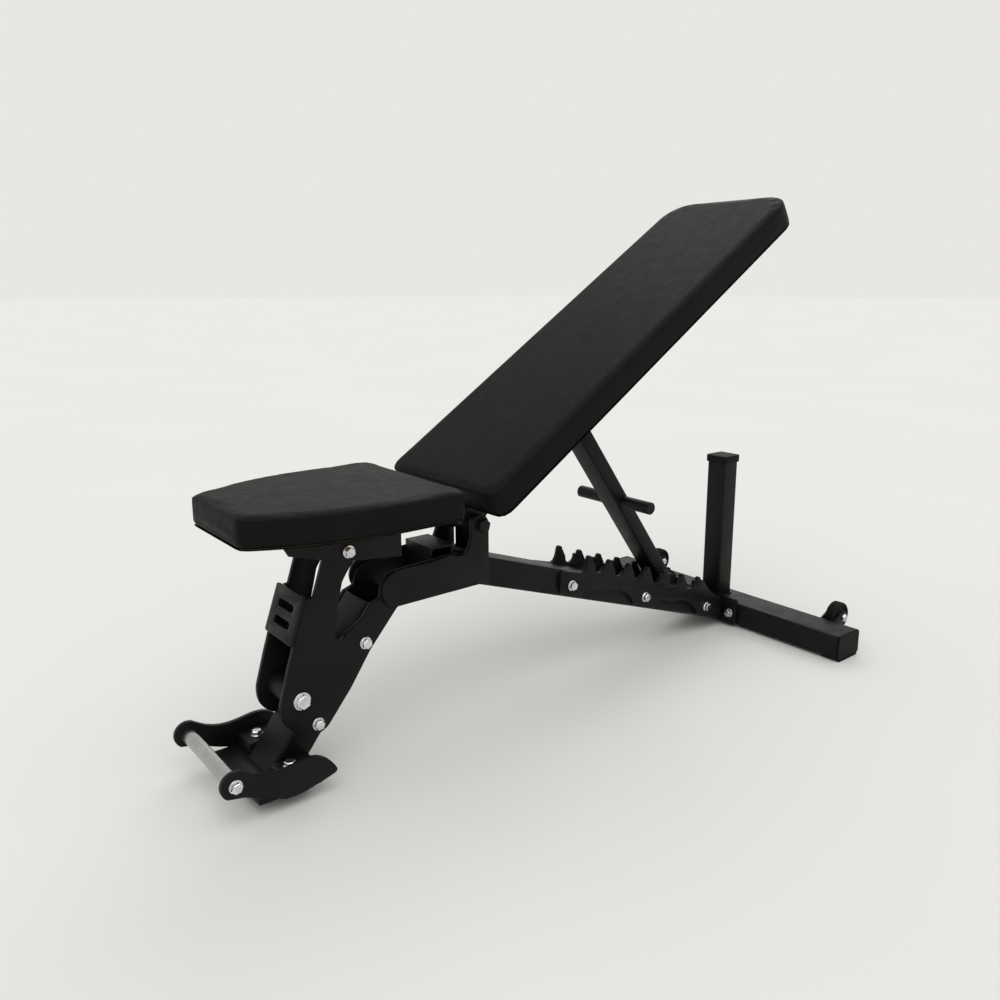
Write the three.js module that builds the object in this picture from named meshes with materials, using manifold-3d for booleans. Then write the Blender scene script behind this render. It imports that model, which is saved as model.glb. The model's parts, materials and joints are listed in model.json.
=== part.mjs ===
// Adjustable weight bench: steel frame, tilting seat, hinged backrest and drop-in ladder strut.
// Millimetres, +X to the rear, +Y to the sitter's right, +Z up, floor at z = 0.
import * as THREE from 'three';
import { mergeVertices } from 'three/addons/utils/BufferGeometryUtils.js';
import Module from 'manifold-3d';

const wasm = await Module();
wasm.setup();

// ---- driving dimensions -------------------------------------------------------------------
const GAP = 0.3; // left between touching pieces
const DEG = Math.PI / 180;

// Overall reach, front of the foot plates to the rear of the wheels.
const FRONT_X = -51;
const REAR_X = 1268;

// Frame tubes: 76 mm wide rectangular section.
const TUBE_W = 76;
const TUBE_H = 50;
const TUBE_WALL = 3;
const TUBE_R = 6;
const PLATE = 8; // laser-cut side plates
const BEAM_END_X = 1118; // rear end of the main beam
const BEAM_END_TOP = 61.3; // height of the beam's top face there
const BEAM_FALL = 0.342; // drop per unit length towards the rear
const BEAM_START_X = 386;

// Rear stand.
const REAR_TUBE_X = 1126.3;
const REAR_TUBE_LEN = 640;
const REAR_TUBE_Z = 4;
const CAP_T = 6;
const POST_W = 47;
const POST_TOP = 372;
const WHEEL_R = 30;
const WHEEL_W = 22;
const WHEEL_Y = 252;
const WHEEL_X = REAR_X - WHEEL_R;
const WHEEL_Z = 53;

// Front leg and foot.
const LEG_SLOPE = 52 * DEG;
const LEG_H = 48;
const LEG_FACE_X = 54.7; // front face of the leg at LEG_FOOT_Z
const LEG_FOOT_Z = 45.3;
const LEG_TOP_Z = 258;
const FOOT_BASE = { x0: 5, x1: 105, z0: 17, z1: 25 }; // plate under the leg
const FOOT_BOSS = { x0: 45, top: 45 }; // raised seats for the foot bolts, either side of the leg
const FOOT_BOLT = { x: 67, y: 60 };
const FOOT_HALF = 88.7; // inner face of the foot plates
const HANDLE = { x: -30, z: 66, r: 11 };
const LOWER_BAR = { x: 98, z: 134.4, r: 19 };

// Backrest hinge, pad and strut.
const HINGE = { x: 433, z: 352 };
const INCLINE = 33.4 * DEG;
const PAD_TOP = 92; // pad surface above the hinge axis, square to the pad
const PAD_START = -5; // lower end of the pad along the backrest from the hinge
const BACK_LEN = 899;
const BACK_W = 304;
const BACK_T = 49;
const BOARD_T = 15;
const BOARD_INSET = 7;
const SPINE_W = 50;
const SPINE_H = 25;
const STRUT_HINGE = 288; // from the backrest hinge, along the backrest
const STRUT_W = 50;
const STRUT_H = 30;
const PEG_AT = 226.5; // peg bar, down the strut from its hinge
const PEG_HALF = 97;
const PIN_R = 12;

// Ladder: teeth at an even pitch, notches between them.
const TOOTH_X = 697;
const PITCH = 55;
const TEETH = 7;
const TOOTH_RISE = 38;
const NOTCH_RISE = 8;
const NOTCH_R = 12.5;
const REST_NOTCH = 4; // the notch that holds the pin at rest
const PIN_RISE = NOTCH_RISE + NOTCH_R;

// Seat.
const SEAT_TOP = 443;
const SEAT_LEN = 338;
const SEAT_T = 46;
const SEAT_FRONT_W = 194;
const SEAT_REAR_W = 302;
const SEAT_HINGE = { x: 183.2, z: 353.6 };

// Fasteners: shank radius, head radius, washer radius.
const M10 = { shank: 5, head: 8.5, washer: 10 };
const M16 = { shank: 8, head: 12, washer: 14 };
const PIVOT_R = 8;
const BUSH_R = 12;
const SLEEVE_R = 16;

// ---- colours ------------------------------------------------------------------------------
const BLACK_STEEL = { color: 0x17181a, roughness: 0.55, metalness: 0.4 };
const ZINC = { color: 0xb9bbbd, roughness: 0.3, metalness: 1.0 };
const SILVER_TUBE = { color: 0xa8a9aa, roughness: 0.35, metalness: 1.0 };
const VINYL = { color: 0x1b1c1d, roughness: 0.6, metalness: 0.0 };
const PLYWOOD = { color: 0x8a6d4b, roughness: 0.8, metalness: 0.0 };
const PLASTIC = { color: 0x101112, roughness: 0.5, metalness: 0.0 };
const RUBBER = { color: 0x0c0c0d, roughness: 0.85, metalness: 0.0 };
const NYLON = { color: 0xd8d5c8, roughness: 0.5, metalness: 0.0 };

// ---- solids -------------------------------------------------------------------------------
function toSolid(geometry) {
  const bare = geometry.clone();
  bare.deleteAttribute('normal');
  bare.deleteAttribute('uv');
  const merged = mergeVertices(bare, 1e-4);
  return new wasm.Manifold(new wasm.Mesh({
    numProp: 3,
    vertProperties: new Float32Array(merged.attributes.position.array),
    triVerts: new Uint32Array(merged.index.array),
  }));
}

function toGeometry(solid) {
  const mesh = solid.getMesh();
  const geometry = new THREE.BufferGeometry();
  geometry.setAttribute('position', new THREE.BufferAttribute(new Float32Array(mesh.vertProperties), 3));
  geometry.setIndex(new THREE.BufferAttribute(new Uint32Array(mesh.triVerts), 1));
  geometry.computeVertexNormals();
  return geometry;
}

function cut(geometry, ...tools) {
  let solid = toSolid(geometry);
  for (const tool of tools) solid = solid.subtract(toSolid(tool));
  return toGeometry(solid);
}

function join(...pieces) {
  let solid = toSolid(pieces[0]);
  for (const piece of pieces.slice(1)) solid = solid.add(toSolid(piece));
  return toGeometry(solid);
}

// A box given by its lowest and highest corners.
function block(x0, x1, y0, y1, z0, z1) {
  const box = new THREE.BoxGeometry(x1 - x0, y1 - y0, z1 - z0);
  return box.translate((x0 + x1) / 2, (y0 + y1) / 2, (z0 + z1) / 2);
}

// A profile in X and Y, given depth along Z.
function extrude(shape, depth, curveSegments) {
  return new THREE.ExtrudeGeometry(shape, { depth, bevelEnabled: false, curveSegments });
}

// A round bar along Y from y0 to y1.
function barY(x, z, r, y0, y1, sides = 16) {
  return new THREE.CylinderGeometry(r, r, y1 - y0, sides).translate(x, (y0 + y1) / 2, z);
}

// A round bar along X from x0 to x1.
function barX(y, z, r, x0, x1, sides = 16) {
  const bar = new THREE.CylinderGeometry(r, r, x1 - x0, sides).rotateZ(Math.PI / 2);
  return bar.translate((x0 + x1) / 2, y, z);
}

// A round bar along Z from z0 to z1.
function barZ(x, y, r, z0, z1, sides = 16) {
  const bar = new THREE.CylinderGeometry(r, r, z1 - z0, sides).rotateX(Math.PI / 2);
  return bar.translate(x, y, (z0 + z1) / 2);
}

// A hollow round bar along Y.
function sleeveY(x, z, outer, inner, y0, y1, sides = 20) {
  return cut(barY(x, z, outer, y0, y1, sides), barY(x, z, inner, y0 - 1, y1 + 1, sides));
}

// A profile drawn in X and Z, given thickness along Y.
function plateY(shape, y0, y1, segments = 5) {
  return extrude(shape, y1 - y0, segments).rotateX(Math.PI / 2).translate(0, y1, 0);
}

// A profile drawn in X and Y, given height along Z.
function slabZ(shape, z0, z1, segments = 6) {
  return extrude(shape, z1 - z0, segments).translate(0, 0, z0);
}

// The same plate on both sides of the frame: side -1 is the left, +1 the right.
function sidePlate(shape, side, inner, thickness, segments) {
  const [y0, y1] = side > 0 ? [inner, inner + thickness] : [-inner - thickness, -inner];
  return plateY(shape, y0, y1, segments);
}

function roundedRect(w, h, r) {
  const shape = new THREE.Shape();
  shape.absarc(w / 2 - r, h / 2 - r, r, 0, Math.PI / 2);
  shape.absarc(-w / 2 + r, h / 2 - r, r, Math.PI / 2, Math.PI);
  shape.absarc(-w / 2 + r, -h / 2 + r, r, Math.PI, 1.5 * Math.PI);
  shape.absarc(w / 2 - r, -h / 2 + r, r, 1.5 * Math.PI, 2 * Math.PI);
  return shape;
}

// A straight rectangular tube along a centre line. Its width lies across the bench, or
// fore and aft when the tube itself runs across.
function tube(from, to, w, h, wall, r = TUBE_R) {
  const along = new THREE.Vector3().subVectors(to, from);
  const section = roundedRect(w, h, r);
  section.holes.push(roundedRect(w - 2 * wall, h - 2 * wall, Math.max(r - wall, 1)));
  const bar = extrude(section, along.length(), 2);
  const dir = along.normalize();
  const across = Math.abs(dir.y) > 0.5 ? new THREE.Vector3(1, 0, 0) : new THREE.Vector3(0, 1, 0);
  const upward = new THREE.Vector3().crossVectors(dir, across);
  bar.applyMatrix4(new THREE.Matrix4().makeBasis(across, upward, dir));
  return bar.translate(from.x, from.y, from.z);
}

// A hexagon head, washers and nut joined by their shank, along Y through the frame.
function throughBolt(x, z, size, outer, headDepth = 7) {
  const washer = 2;
  const pieces = [barY(x, z, size.shank, -outer - 1, outer + 1, 10)];
  for (const side of [-1, 1]) {
    const a = side * (outer + GAP);
    const b = side * (outer + GAP + washer);
    const c = side * (outer + GAP + washer + headDepth);
    pieces.push(barY(x, z, size.washer, Math.min(a, b), Math.max(a, b), 14));
    pieces.push(barY(x, z, size.head, Math.min(b - side, c), Math.max(b - side, c), 6));
  }
  pieces.push(barY(x, z, size.shank * 0.8, outer, outer + GAP + washer + headDepth + 3, 8));
  return join(...pieces);
}

// Clearance hole for a through bolt.
function boltHole(x, z, size, reach = 120) {
  return barY(x, z, size.shank + GAP, -reach, reach, 10);
}

function mesh(name, geometry, look) {
  const piece = new THREE.Mesh(geometry, new THREE.MeshStandardMaterial(look));
  piece.name = name;
  return piece;
}

const SIDES = [['left', -1], ['right', 1]];
const beamTop = (x) => BEAM_END_TOP + BEAM_FALL * (BEAM_END_X - x);
const BEAM_DROP = TUBE_H * Math.hypot(1, BEAM_FALL); // beam height measured straight down
const beamMid = (x) => beamTop(x) - BEAM_DROP / 2;
const FRAME_HALF = TUBE_W / 2 + GAP; // inner face of the plates on the tubes
const OUTER_HALF = FRAME_HALF + PLATE + GAP; // inner face of the plates outside those

// ---- frame: main beam, ladder, rear stand ---------------------------------------------------
const LADDER_BOLTS = [650, 855, 1055];

function mainBeam() {
  const reach = 60;
  const from = new THREE.Vector3(BEAM_START_X - reach, 0, beamMid(BEAM_START_X - reach));
  const to = new THREE.Vector3(BEAM_END_X + reach, 0, beamMid(BEAM_END_X + reach));
  const bar = tube(from, to, TUBE_W, TUBE_H, TUBE_WALL);
  const front = block(0, BEAM_START_X, -60, 60, 0, 500);
  const rear = block(BEAM_END_X - GAP, 1400, -60, 60, -60, 300);
  const holes = LADDER_BOLTS.map((x) => boltHole(x, beamMid(x), M10));
  return cut(bar, front, rear, ...holes);
}

function ladderShape() {
  const tipR = 6;
  const front = 622;
  const shape = new THREE.Shape();
  const lower = (x) => beamTop(x) - BEAM_DROP + 4;
  shape.moveTo(front, beamTop(front) - 12);
  shape.lineTo(front + 12, beamTop(front + 12) - 1);
  shape.lineTo(TOOTH_X - 24, beamTop(TOOTH_X - 24) + 1);
  const firstTop = beamTop(TOOTH_X);
  shape.quadraticCurveTo(TOOTH_X - 10, firstTop + 6, TOOTH_X - tipR, firstTop + TOOTH_RISE - tipR);
  for (let i = 0; i < TEETH; i += 1) {
    const x = TOOTH_X + i * PITCH;
    const tip = beamTop(x) + TOOTH_RISE;
    shape.absarc(x, tip - tipR, tipR, Math.PI, 0, true);
    if (i === TEETH - 1) break;
    const notchX = x + PITCH / 2;
    const notchZ = beamTop(notchX) + NOTCH_RISE + NOTCH_R;
    shape.lineTo(notchX - NOTCH_R, notchZ + 3);
    shape.absarc(notchX, notchZ, NOTCH_R, Math.PI, 2 * Math.PI, false);
    shape.lineTo(notchX + NOTCH_R, notchZ + 3);
  }
  const last = TOOTH_X + (TEETH - 1) * PITCH;
  shape.lineTo(last + 20, beamTop(last) + TOOTH_RISE - 16);
  shape.quadraticCurveTo(last + 34, beamTop(last + 34) + 14, last + 50, beamTop(last + 50) + 6);
  shape.lineTo(BEAM_END_X - 4, beamTop(BEAM_END_X) - 2);
  shape.lineTo(BEAM_END_X - 4, lower(BEAM_END_X - 4));
  const [first, middle, end] = LADDER_BOLTS;
  for (const [from, to] of [[end - 22, middle + 26], [middle - 26, first + 24]]) {
    shape.lineTo(from, lower(from));
    const mid = (from + to) / 2;
    const waist = beamMid(mid) + 2;
    shape.bezierCurveTo(from - 14, beamMid(from) + 6, mid + 30, waist, mid, waist);
    shape.bezierCurveTo(mid - 30, waist, to + 14, beamMid(to) + 6, to, lower(to));
  }
  shape.lineTo(front + 8, lower(front + 8));
  shape.lineTo(front, lower(front) + 10);
  return shape;
}

function ladderPlate(side) {
  const plate = sidePlate(ladderShape(), side, FRAME_HALF, PLATE, 5);
  return cut(plate, ...LADDER_BOLTS.map((x) => boltHole(x, beamMid(x), M10)));
}

const FLANGE_BOLT_Y = 62;
const FLANGE_BOLT_Z = 32;

// A short bolt along X whose head faces the front.
function flangeBolt(side) {
  const y = side * FLANGE_BOLT_Y;
  const head = BEAM_END_X - GAP;
  return join(
    barX(y, FLANGE_BOLT_Z, M10.washer, head - 2, head, 14),
    barX(y, FLANGE_BOLT_Z, M10.head, head - 9, head - 1, 6),
    barX(y, FLANGE_BOLT_Z, M10.shank, head - 1, REAR_TUBE_X + 16, 10),
  );
}

function flangeHole(side) {
  const middle = BEAM_END_X + 4;
  return barX(side * FLANGE_BOLT_Y, FLANGE_BOLT_Z, M10.shank + GAP, middle - 30, middle + 30, 10);
}

function beamFlange() {
  const solid = extrude(roundedRect(160, 60, 8), PLATE - GAP, 3);
  solid.applyMatrix4(new THREE.Matrix4().makeBasis(
    new THREE.Vector3(0, 1, 0), new THREE.Vector3(0, 0, 1), new THREE.Vector3(1, 0, 0),
  ));
  solid.translate(BEAM_END_X, 0, 36);
  return cut(solid, flangeHole(-1), flangeHole(1));
}

const REAR_TUBE_MID_X = REAR_TUBE_X + TUBE_W / 2;
const REAR_TUBE_TOP = REAR_TUBE_Z + TUBE_H;

function rearCrossTube() {
  const z = REAR_TUBE_Z + TUBE_H / 2;
  const half = REAR_TUBE_LEN / 2;
  const from = new THREE.Vector3(REAR_TUBE_MID_X, -half, z);
  const to = new THREE.Vector3(REAR_TUBE_MID_X, half, z);
  return cut(tube(from, to, TUBE_W, TUBE_H, TUBE_WALL), flangeHole(-1), flangeHole(1));
}

// A moulded cap over each end, with a foot lip that reaches the floor.
function rearEndCap(side) {
  const half = REAR_TUBE_LEN / 2;
  const span = (inner) => [side * inner, side * (half + CAP_T)].sort((a, b) => a - b);
  const outline = roundedRect(TUBE_W, TUBE_H, TUBE_R);
  const face = plateY(outline, ...span(half + GAP), 2);
  const [x0, x1] = [REAR_TUBE_X + 6, REAR_TUBE_X + TUBE_W - 6];
  return join(
    face.translate(REAR_TUBE_MID_X, 0, REAR_TUBE_Z + TUBE_H / 2),
    block(x0, x1, ...span(half - 34), 0, REAR_TUBE_Z - GAP),
    block(x0, x1, ...span(half + GAP), 0, REAR_TUBE_Z + 8),
  );
}

function rearPost() {
  const x = REAR_TUBE_X + POST_W / 2;
  const from = new THREE.Vector3(x, 0, REAR_TUBE_TOP + GAP);
  return tube(from, new THREE.Vector3(x, 0, POST_TOP), POST_W, POST_W, TUBE_WALL, 5);
}

function postCap() {
  const x = REAR_TUBE_X + POST_W / 2;
  const outer = POST_W + 6.4;
  const inner = POST_W + 2 * GAP;
  const rim = slabZ(roundedRect(outer, outer, 6), POST_TOP - 9, POST_TOP + 7, 3);
  const pocket = slabZ(roundedRect(inner, inner, 5), POST_TOP - 12, POST_TOP + GAP, 3);
  return cut(rim.translate(x, 0, 0), pocket.translate(x, 0, 0));
}

function wheelBracket(side) {
  const ear = new THREE.Shape();
  const back = REAR_TUBE_X + TUBE_W + GAP;
  ear.moveTo(back, 18);
  ear.lineTo(back, 52);
  ear.lineTo(WHEEL_X - 4, WHEEL_Z + 13);
  ear.absarc(WHEEL_X, WHEEL_Z, 13, Math.PI / 2, -Math.PI / 2, true);
  ear.lineTo(back + 8, 18);
  const y = side * WHEEL_Y;
  const inner = WHEEL_W / 2 + 1.5;
  const ears = [plateY(ear, y + inner, y + inner + 4), plateY(ear, y - inner - 4, y - inner)];
  const web = block(back, back + 2.2, y - inner - 3, y + inner + 3, 18.5, 51.5);
  return cut(join(...ears, web), barY(WHEEL_X, WHEEL_Z, 4 + GAP, y - 30, y + 30, 10));
}

function transportWheel(side) {
  const y = side * WHEEL_Y;
  const h = WHEEL_W / 2;
  const points = [[4.3, -h], [12, -h], [13, -h + 3], [22, -h + 3], [23, -h], [WHEEL_R, -h + 2]];
  const profile = points.concat(points.map(([r, v]) => [r, -v]).reverse());
  const outline = profile.map(([r, v]) => new THREE.Vector2(r, v));
  outline.push(outline[0].clone());
  return new THREE.LatheGeometry(outline, 20).translate(WHEEL_X, y, WHEEL_Z);
}

function wheelAxle(side) {
  const y = side * WHEEL_Y;
  const outer = WHEEL_W / 2 + 5.5 + GAP;
  return join(
    barY(WHEEL_X, WHEEL_Z, 4, y - outer - 1, y + outer + 1, 10),
    barY(WHEEL_X, WHEEL_Z, 8, y - outer - 5, y - outer, 14),
    barY(WHEEL_X, WHEEL_Z, 7.5, y + outer, y + outer + 6, 6),
  );
}

// ---- frame: hub, leg and foot ---------------------------------------------------------------
const LEG_DIR = new THREE.Vector3(Math.cos(LEG_SLOPE), 0, Math.sin(LEG_SLOPE));
const legFaceX = (z) => LEG_FACE_X + (z - LEG_FOOT_Z) / Math.tan(LEG_SLOPE);
const LEG_BOLTS = [{ x: 122.2, z: 89.4 }, { x: 209, z: 198.4 }];

function legTube() {
  const half = LEG_H / 2 / Math.sin(LEG_SLOPE);
  const from = new THREE.Vector3(legFaceX(0) + half, 0, 0);
  const to = from.clone().addScaledVector(LEG_DIR, 420);
  const bar = tube(from, to, TUBE_W, LEG_H, TUBE_WALL);
  const below = block(-100, 300, -60, 60, -60, FOOT_BASE.z1 + GAP);
  const above = block(100, 500, -60, 60, LEG_TOP_Z, 460);
  return cut(bar, below, above, ...LEG_BOLTS.map((b) => boltHole(b.x, b.z, M10)));
}

// Y-shaped side plate: a left arm up to the seat, a right arm up to the hub, a round lower lobe.
function legPlateShape() {
  const shape = new THREE.Shape();
  const { x: sx, z: sz } = SEAT_HINGE;
  shape.moveTo(145, 350);
  shape.quadraticCurveTo(149, 372, sx - 12, sz + 20.8);
  shape.absarc(sx, sz, 24, 2 * Math.PI / 3, -Math.PI / 8, true);
  shape.quadraticCurveTo(188, 330, 174, 306);
  shape.lineTo(160, 250);
  shape.lineTo(158, 226);
  shape.absarc(168, 224, 10, Math.PI, 2 * Math.PI - 0.3, false);
  shape.lineTo(legFaceX(240), 240);
  shape.lineTo(legFaceX(LEG_TOP_Z), LEG_TOP_Z);
  shape.lineTo(238, 264);
  shape.lineTo(241, 280);
  shape.quadraticCurveTo(246, 297, 266, 298);
  shape.lineTo(BEAM_START_X + 40, 298);
  shape.lineTo(BEAM_START_X + 40, 252);
  shape.lineTo(292, 252);
  shape.quadraticCurveTo(276, 250, 266, 239);
  shape.lineTo(218, 184);
  shape.lineTo(182, 131);
  shape.lineTo(145, 86);
  shape.quadraticCurveTo(134, 72, 116, 72);
  shape.quadraticCurveTo(102, 72, 94, 84);
  shape.quadraticCurveTo(59, 98, 65, 138);
  shape.lineTo(80, 190);
  shape.lineTo(90, 222);
  shape.lineTo(113.8, 290);
  shape.lineTo(126, 292);
  return shape;
}

function legPlate(side) {
  const plate = sidePlate(legPlateShape(), side, FRAME_HALF, PLATE, 5);
  const bolts = LEG_BOLTS.map((b) => boltHole(b.x, b.z, M10));
  bolts.push(boltHole(LOWER_BAR.x, LOWER_BAR.z, M16));
  bolts.push(boltHole(SEAT_HINGE.x, SEAT_HINGE.z, M10));
  return cut(plate, ...bolts);
}

// Boot-shaped hub plate: round nose, level sole, and an upright ear for the backrest hinge.
function hubPlateShape() {
  const ear = { x: HINGE.x - 3, r: 18 };
  const shape = new THREE.Shape();
  shape.absarc(ear.x, HINGE.z, ear.r, 0, Math.PI, false);
  shape.lineTo(ear.x - ear.r, 332);
  shape.quadraticCurveTo(405, 305.5, 391, 305.5);
  shape.quadraticCurveTo(378, 305.5, 371, 312);
  shape.quadraticCurveTo(352, 308, 326, 306);
  shape.lineTo(267, 305);
  shape.absarc(267, 276, 29, Math.PI / 2, 1.5 * Math.PI, false);
  shape.lineTo(HINGE.x - 4, 248.5);
  shape.lineTo(ear.x + ear.r, 244);
  return shape;
}

function hubPlate(side) {
  const plate = sidePlate(hubPlateShape(), side, OUTER_HALF, PLATE, 7);
  return cut(plate, boltHole(HINGE.x, HINGE.z, { shank: PIVOT_R }));
}

// Box spacer between the hub plates with a tail over the beam that turns up to close the rear.
function hubSpacer() {
  const half = FRAME_HALF - GAP;
  const rear = BEAM_START_X - GAP;
  const wall = 4;
  const shape = new THREE.Shape();
  const over = (x) => beamTop(x) + GAP + 0.3;
  const tailEnd = HINGE.x + 15;
  shape.moveTo(340, 264);
  shape.lineTo(rear, 264);
  shape.lineTo(rear, over(rear) + 0.4);
  shape.lineTo(tailEnd, over(tailEnd));
  shape.lineTo(tailEnd, 333);
  shape.lineTo(tailEnd - wall, 333);
  shape.lineTo(tailEnd - wall, over(tailEnd - wall) + wall);
  shape.lineTo(rear, over(rear) + wall);
  shape.lineTo(rear, 325);
  shape.lineTo(340, 325);
  const inside = block(340 + wall, rear - wall, -half - 5, half + 5, 264 + wall, 325 - wall);
  return cut(plateY(shape, -half, half), inside);
}

// Sloping plate across the front of the leg, lightened by two plain slots.
function frontCrossPlate() {
  const slots = [-13, 13].map((v) => extrude(roundedRect(50, 12, 5.9), 20, 3).translate(0, v, -8));
  const plate = cut(extrude(roundedRect(92, 76, 4), 5, 2), ...slots);
  const slope = Math.atan2(72, 25);
  const up = new THREE.Vector3(Math.cos(slope), 0, Math.sin(slope));
  const out = new THREE.Vector3(-Math.sin(slope), 0, Math.cos(slope));
  const across = new THREE.Vector3().crossVectors(up, out);
  plate.applyMatrix4(new THREE.Matrix4().makeBasis(across, up, out));
  return plate.translate(102.5 + GAP * out.x, 0, 258 + GAP * out.z);
}

function lowerBar() {
  const half = FRAME_HALF - GAP;
  return sleeveY(LOWER_BAR.x, LOWER_BAR.z, LOWER_BAR.r, 10, -half, half);
}

// Flat base under the leg, with a raised seat for a foot bolt on either side.
function footBase() {
  const half = FOOT_HALF - GAP;
  const { x0, x1, z0, z1 } = FOOT_BASE;
  const bosses = SIDES.map(([, side]) => {
    const [y0, y1] = [side * (FRAME_HALF + GAP), side * half].sort((a, b) => a - b);
    return block(FOOT_BOSS.x0, x1, y0, y1, z0 + 1, FOOT_BOSS.top);
  });
  const solid = join(block(x0, x1, -half, half, z0, z1), ...bosses);
  return cut(solid, ...SIDES.map(([, s]) => footHole(s)));
}

function footHole(side) {
  return barZ(FOOT_BOLT.x, side * FOOT_BOLT.y, M10.shank + GAP, 2, 60, 10);
}

// Boat-shaped foot plate with a round nose around the handle bolt.
function footPlateShape() {
  const shape = new THREE.Shape();
  shape.absarc(HANDLE.x, HANDLE.z, 21, 1.3 * Math.PI, 0.36 * Math.PI, true);
  shape.bezierCurveTo(-8, 76, 8, 64, 36, 64);
  shape.bezierCurveTo(60, 64, 76, 72, 96, 66);
  shape.bezierCurveTo(110, 61, 120, 48, 126, 37);
  shape.quadraticCurveTo(128, 31, 120, 29);
  shape.lineTo(102, 24);
  shape.quadraticCurveTo(88, 21, 76, 18.5);
  shape.lineTo(60, 16.5);
  shape.lineTo(46, 17);
  shape.quadraticCurveTo(36, 19, 28, 25);
  shape.bezierCurveTo(12, 29, -4, 38, -18, 44);
  return shape;
}

function footPlate(side) {
  const plate = sidePlate(footPlateShape(), side, FOOT_HALF, PLATE, 5);
  return cut(plate, boltHole(HANDLE.x, HANDLE.z, M10));
}

function handleTube() {
  const half = FOOT_HALF - GAP;
  return sleeveY(HANDLE.x, HANDLE.z, HANDLE.r, M10.shank + 1, -half, half);
}

// Rubber block under the base, wider round the upright bolt that holds it.
function footPad(side) {
  const outline = new THREE.Shape();
  [[18, 37], [18, 54], [21, 57], [44, 57], [52, 68.5], [91, 68.5], [95, 64], [95, 37]]
    .forEach(([x, y], i) => (i ? outline.lineTo(x, side * y) : outline.moveTo(x, side * y)));
  return cut(slabZ(outline, 0, FOOT_BASE.z0 - GAP, 3), footHole(side));
}

function footBolt(side) {
  const { x, y } = FOOT_BOLT;
  const top = FOOT_BOSS.top + GAP;
  return join(
    barZ(x, side * y, M10.shank, 3, top + 2, 10),
    barZ(x, side * y, M10.washer, top, top + 2, 14),
    barZ(x, side * y, M10.head, top + 1, top + 8, 6),
  );
}

// ---- backrest: local X runs up the pad from the hinge, local Z is square to it --------------
const PAD_UNDER = PAD_TOP - BACK_T;
const SPINE_TOP = PAD_UNDER - GAP;
const SPINE_MID = SPINE_TOP - SPINE_H / 2;
const SPINE_START = 18;
const SPINE_END = 640;
const EAR_T = 6;
const EAR_IN = SPINE_W / 2 + GAP;

function padOutline(x0, x1, w, r0, r1) {
  const h = w / 2;
  const shape = new THREE.Shape();
  shape.absarc(x1 - r1, h - r1, r1, Math.PI / 2, 0, true);
  shape.absarc(x1 - r1, -h + r1, r1, 0, -Math.PI / 2, true);
  shape.absarc(x0 + r0, -h + r0, r0, -Math.PI / 2, -Math.PI, true);
  shape.absarc(x0 + r0, h - r0, r0, Math.PI, Math.PI / 2, true);
  return shape;
}

// The pad wraps round the edge of its board, so its underside is a shallow tray.
function backPad() {
  const end = PAD_START + BACK_LEN;
  const pad = slabZ(padOutline(PAD_START, end, BACK_W, 22, 55), PAD_UNDER, PAD_TOP);
  const inset = BOARD_INSET - GAP;
  const tray = padOutline(PAD_START + inset, end - inset, BACK_W - 2 * inset, 16, 49);
  return cut(pad, slabZ(tray, PAD_UNDER - 5, PAD_UNDER + BOARD_T + GAP));
}

function backBoard() {
  const end = PAD_START + BACK_LEN;
  const inset = BOARD_INSET;
  const outline = padOutline(PAD_START + inset, end - inset, BACK_W - 2 * inset, 16, 49);
  return slabZ(outline, PAD_UNDER, PAD_UNDER + BOARD_T);
}

function backSpine() {
  const from = new THREE.Vector3(SPINE_START, 0, SPINE_MID);
  return tube(from, new THREE.Vector3(SPINE_END, 0, SPINE_MID), SPINE_W, SPINE_H, 2.5, 4);
}

// Ear from the spine down to the hinge sleeve.
function hingeEar(side) {
  const shape = new THREE.Shape();
  shape.absarc(0, 0, SLEEVE_R + 5, Math.PI, 1.75 * Math.PI, false);
  shape.lineTo(96, SPINE_TOP - SPINE_H + 2);
  shape.lineTo(100, SPINE_TOP - 3);
  shape.lineTo(SPINE_START, SPINE_TOP - 3);
  shape.lineTo(-SLEEVE_R - 5, 12);
  return cut(sidePlate(shape, side, EAR_IN, EAR_T, 6), barY(0, 0, SLEEVE_R + GAP, -60, 60, 20));
}

function hingeSleeve() {
  return sleeveY(0, 0, SLEEVE_R, BUSH_R + 0.2, -OUTER_HALF + 1.5, OUTER_HALF - 1.5);
}

function hingeBush(half) {
  return sleeveY(0, 0, BUSH_R, PIVOT_R + 0.25, -half, half);
}

function strutEar(side) {
  const shape = new THREE.Shape();
  shape.absarc(STRUT_HINGE, 0, 17, Math.PI, 2 * Math.PI, false);
  shape.lineTo(STRUT_HINGE + 40, SPINE_TOP - SPINE_H + 4);
  shape.lineTo(STRUT_HINGE + 40, SPINE_TOP - 3);
  shape.lineTo(STRUT_HINGE - 40, SPINE_TOP - 3);
  shape.lineTo(STRUT_HINGE - 40, SPINE_TOP - SPINE_H + 4);
  const ear = sidePlate(shape, side, EAR_IN, EAR_T, 6);
  return cut(ear, barY(STRUT_HINGE, 0, PIVOT_R + GAP, -60, 60));
}

function pivotBolt(x, z, outer) {
  return throughBolt(x, z, { shank: PIVOT_R, head: 12, washer: 14 }, outer, 8);
}

// Rubber block under the board that lands on the rear post when the backrest is flat.
function restBumper() {
  const top = PAD_UNDER - GAP;
  const bumper = slabZ(roundedRect(52, 52, 8), top - 13, top, 3);
  return bumper.translate(REAR_TUBE_X + POST_W / 2 - HINGE.x, 0, 0);
}

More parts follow.
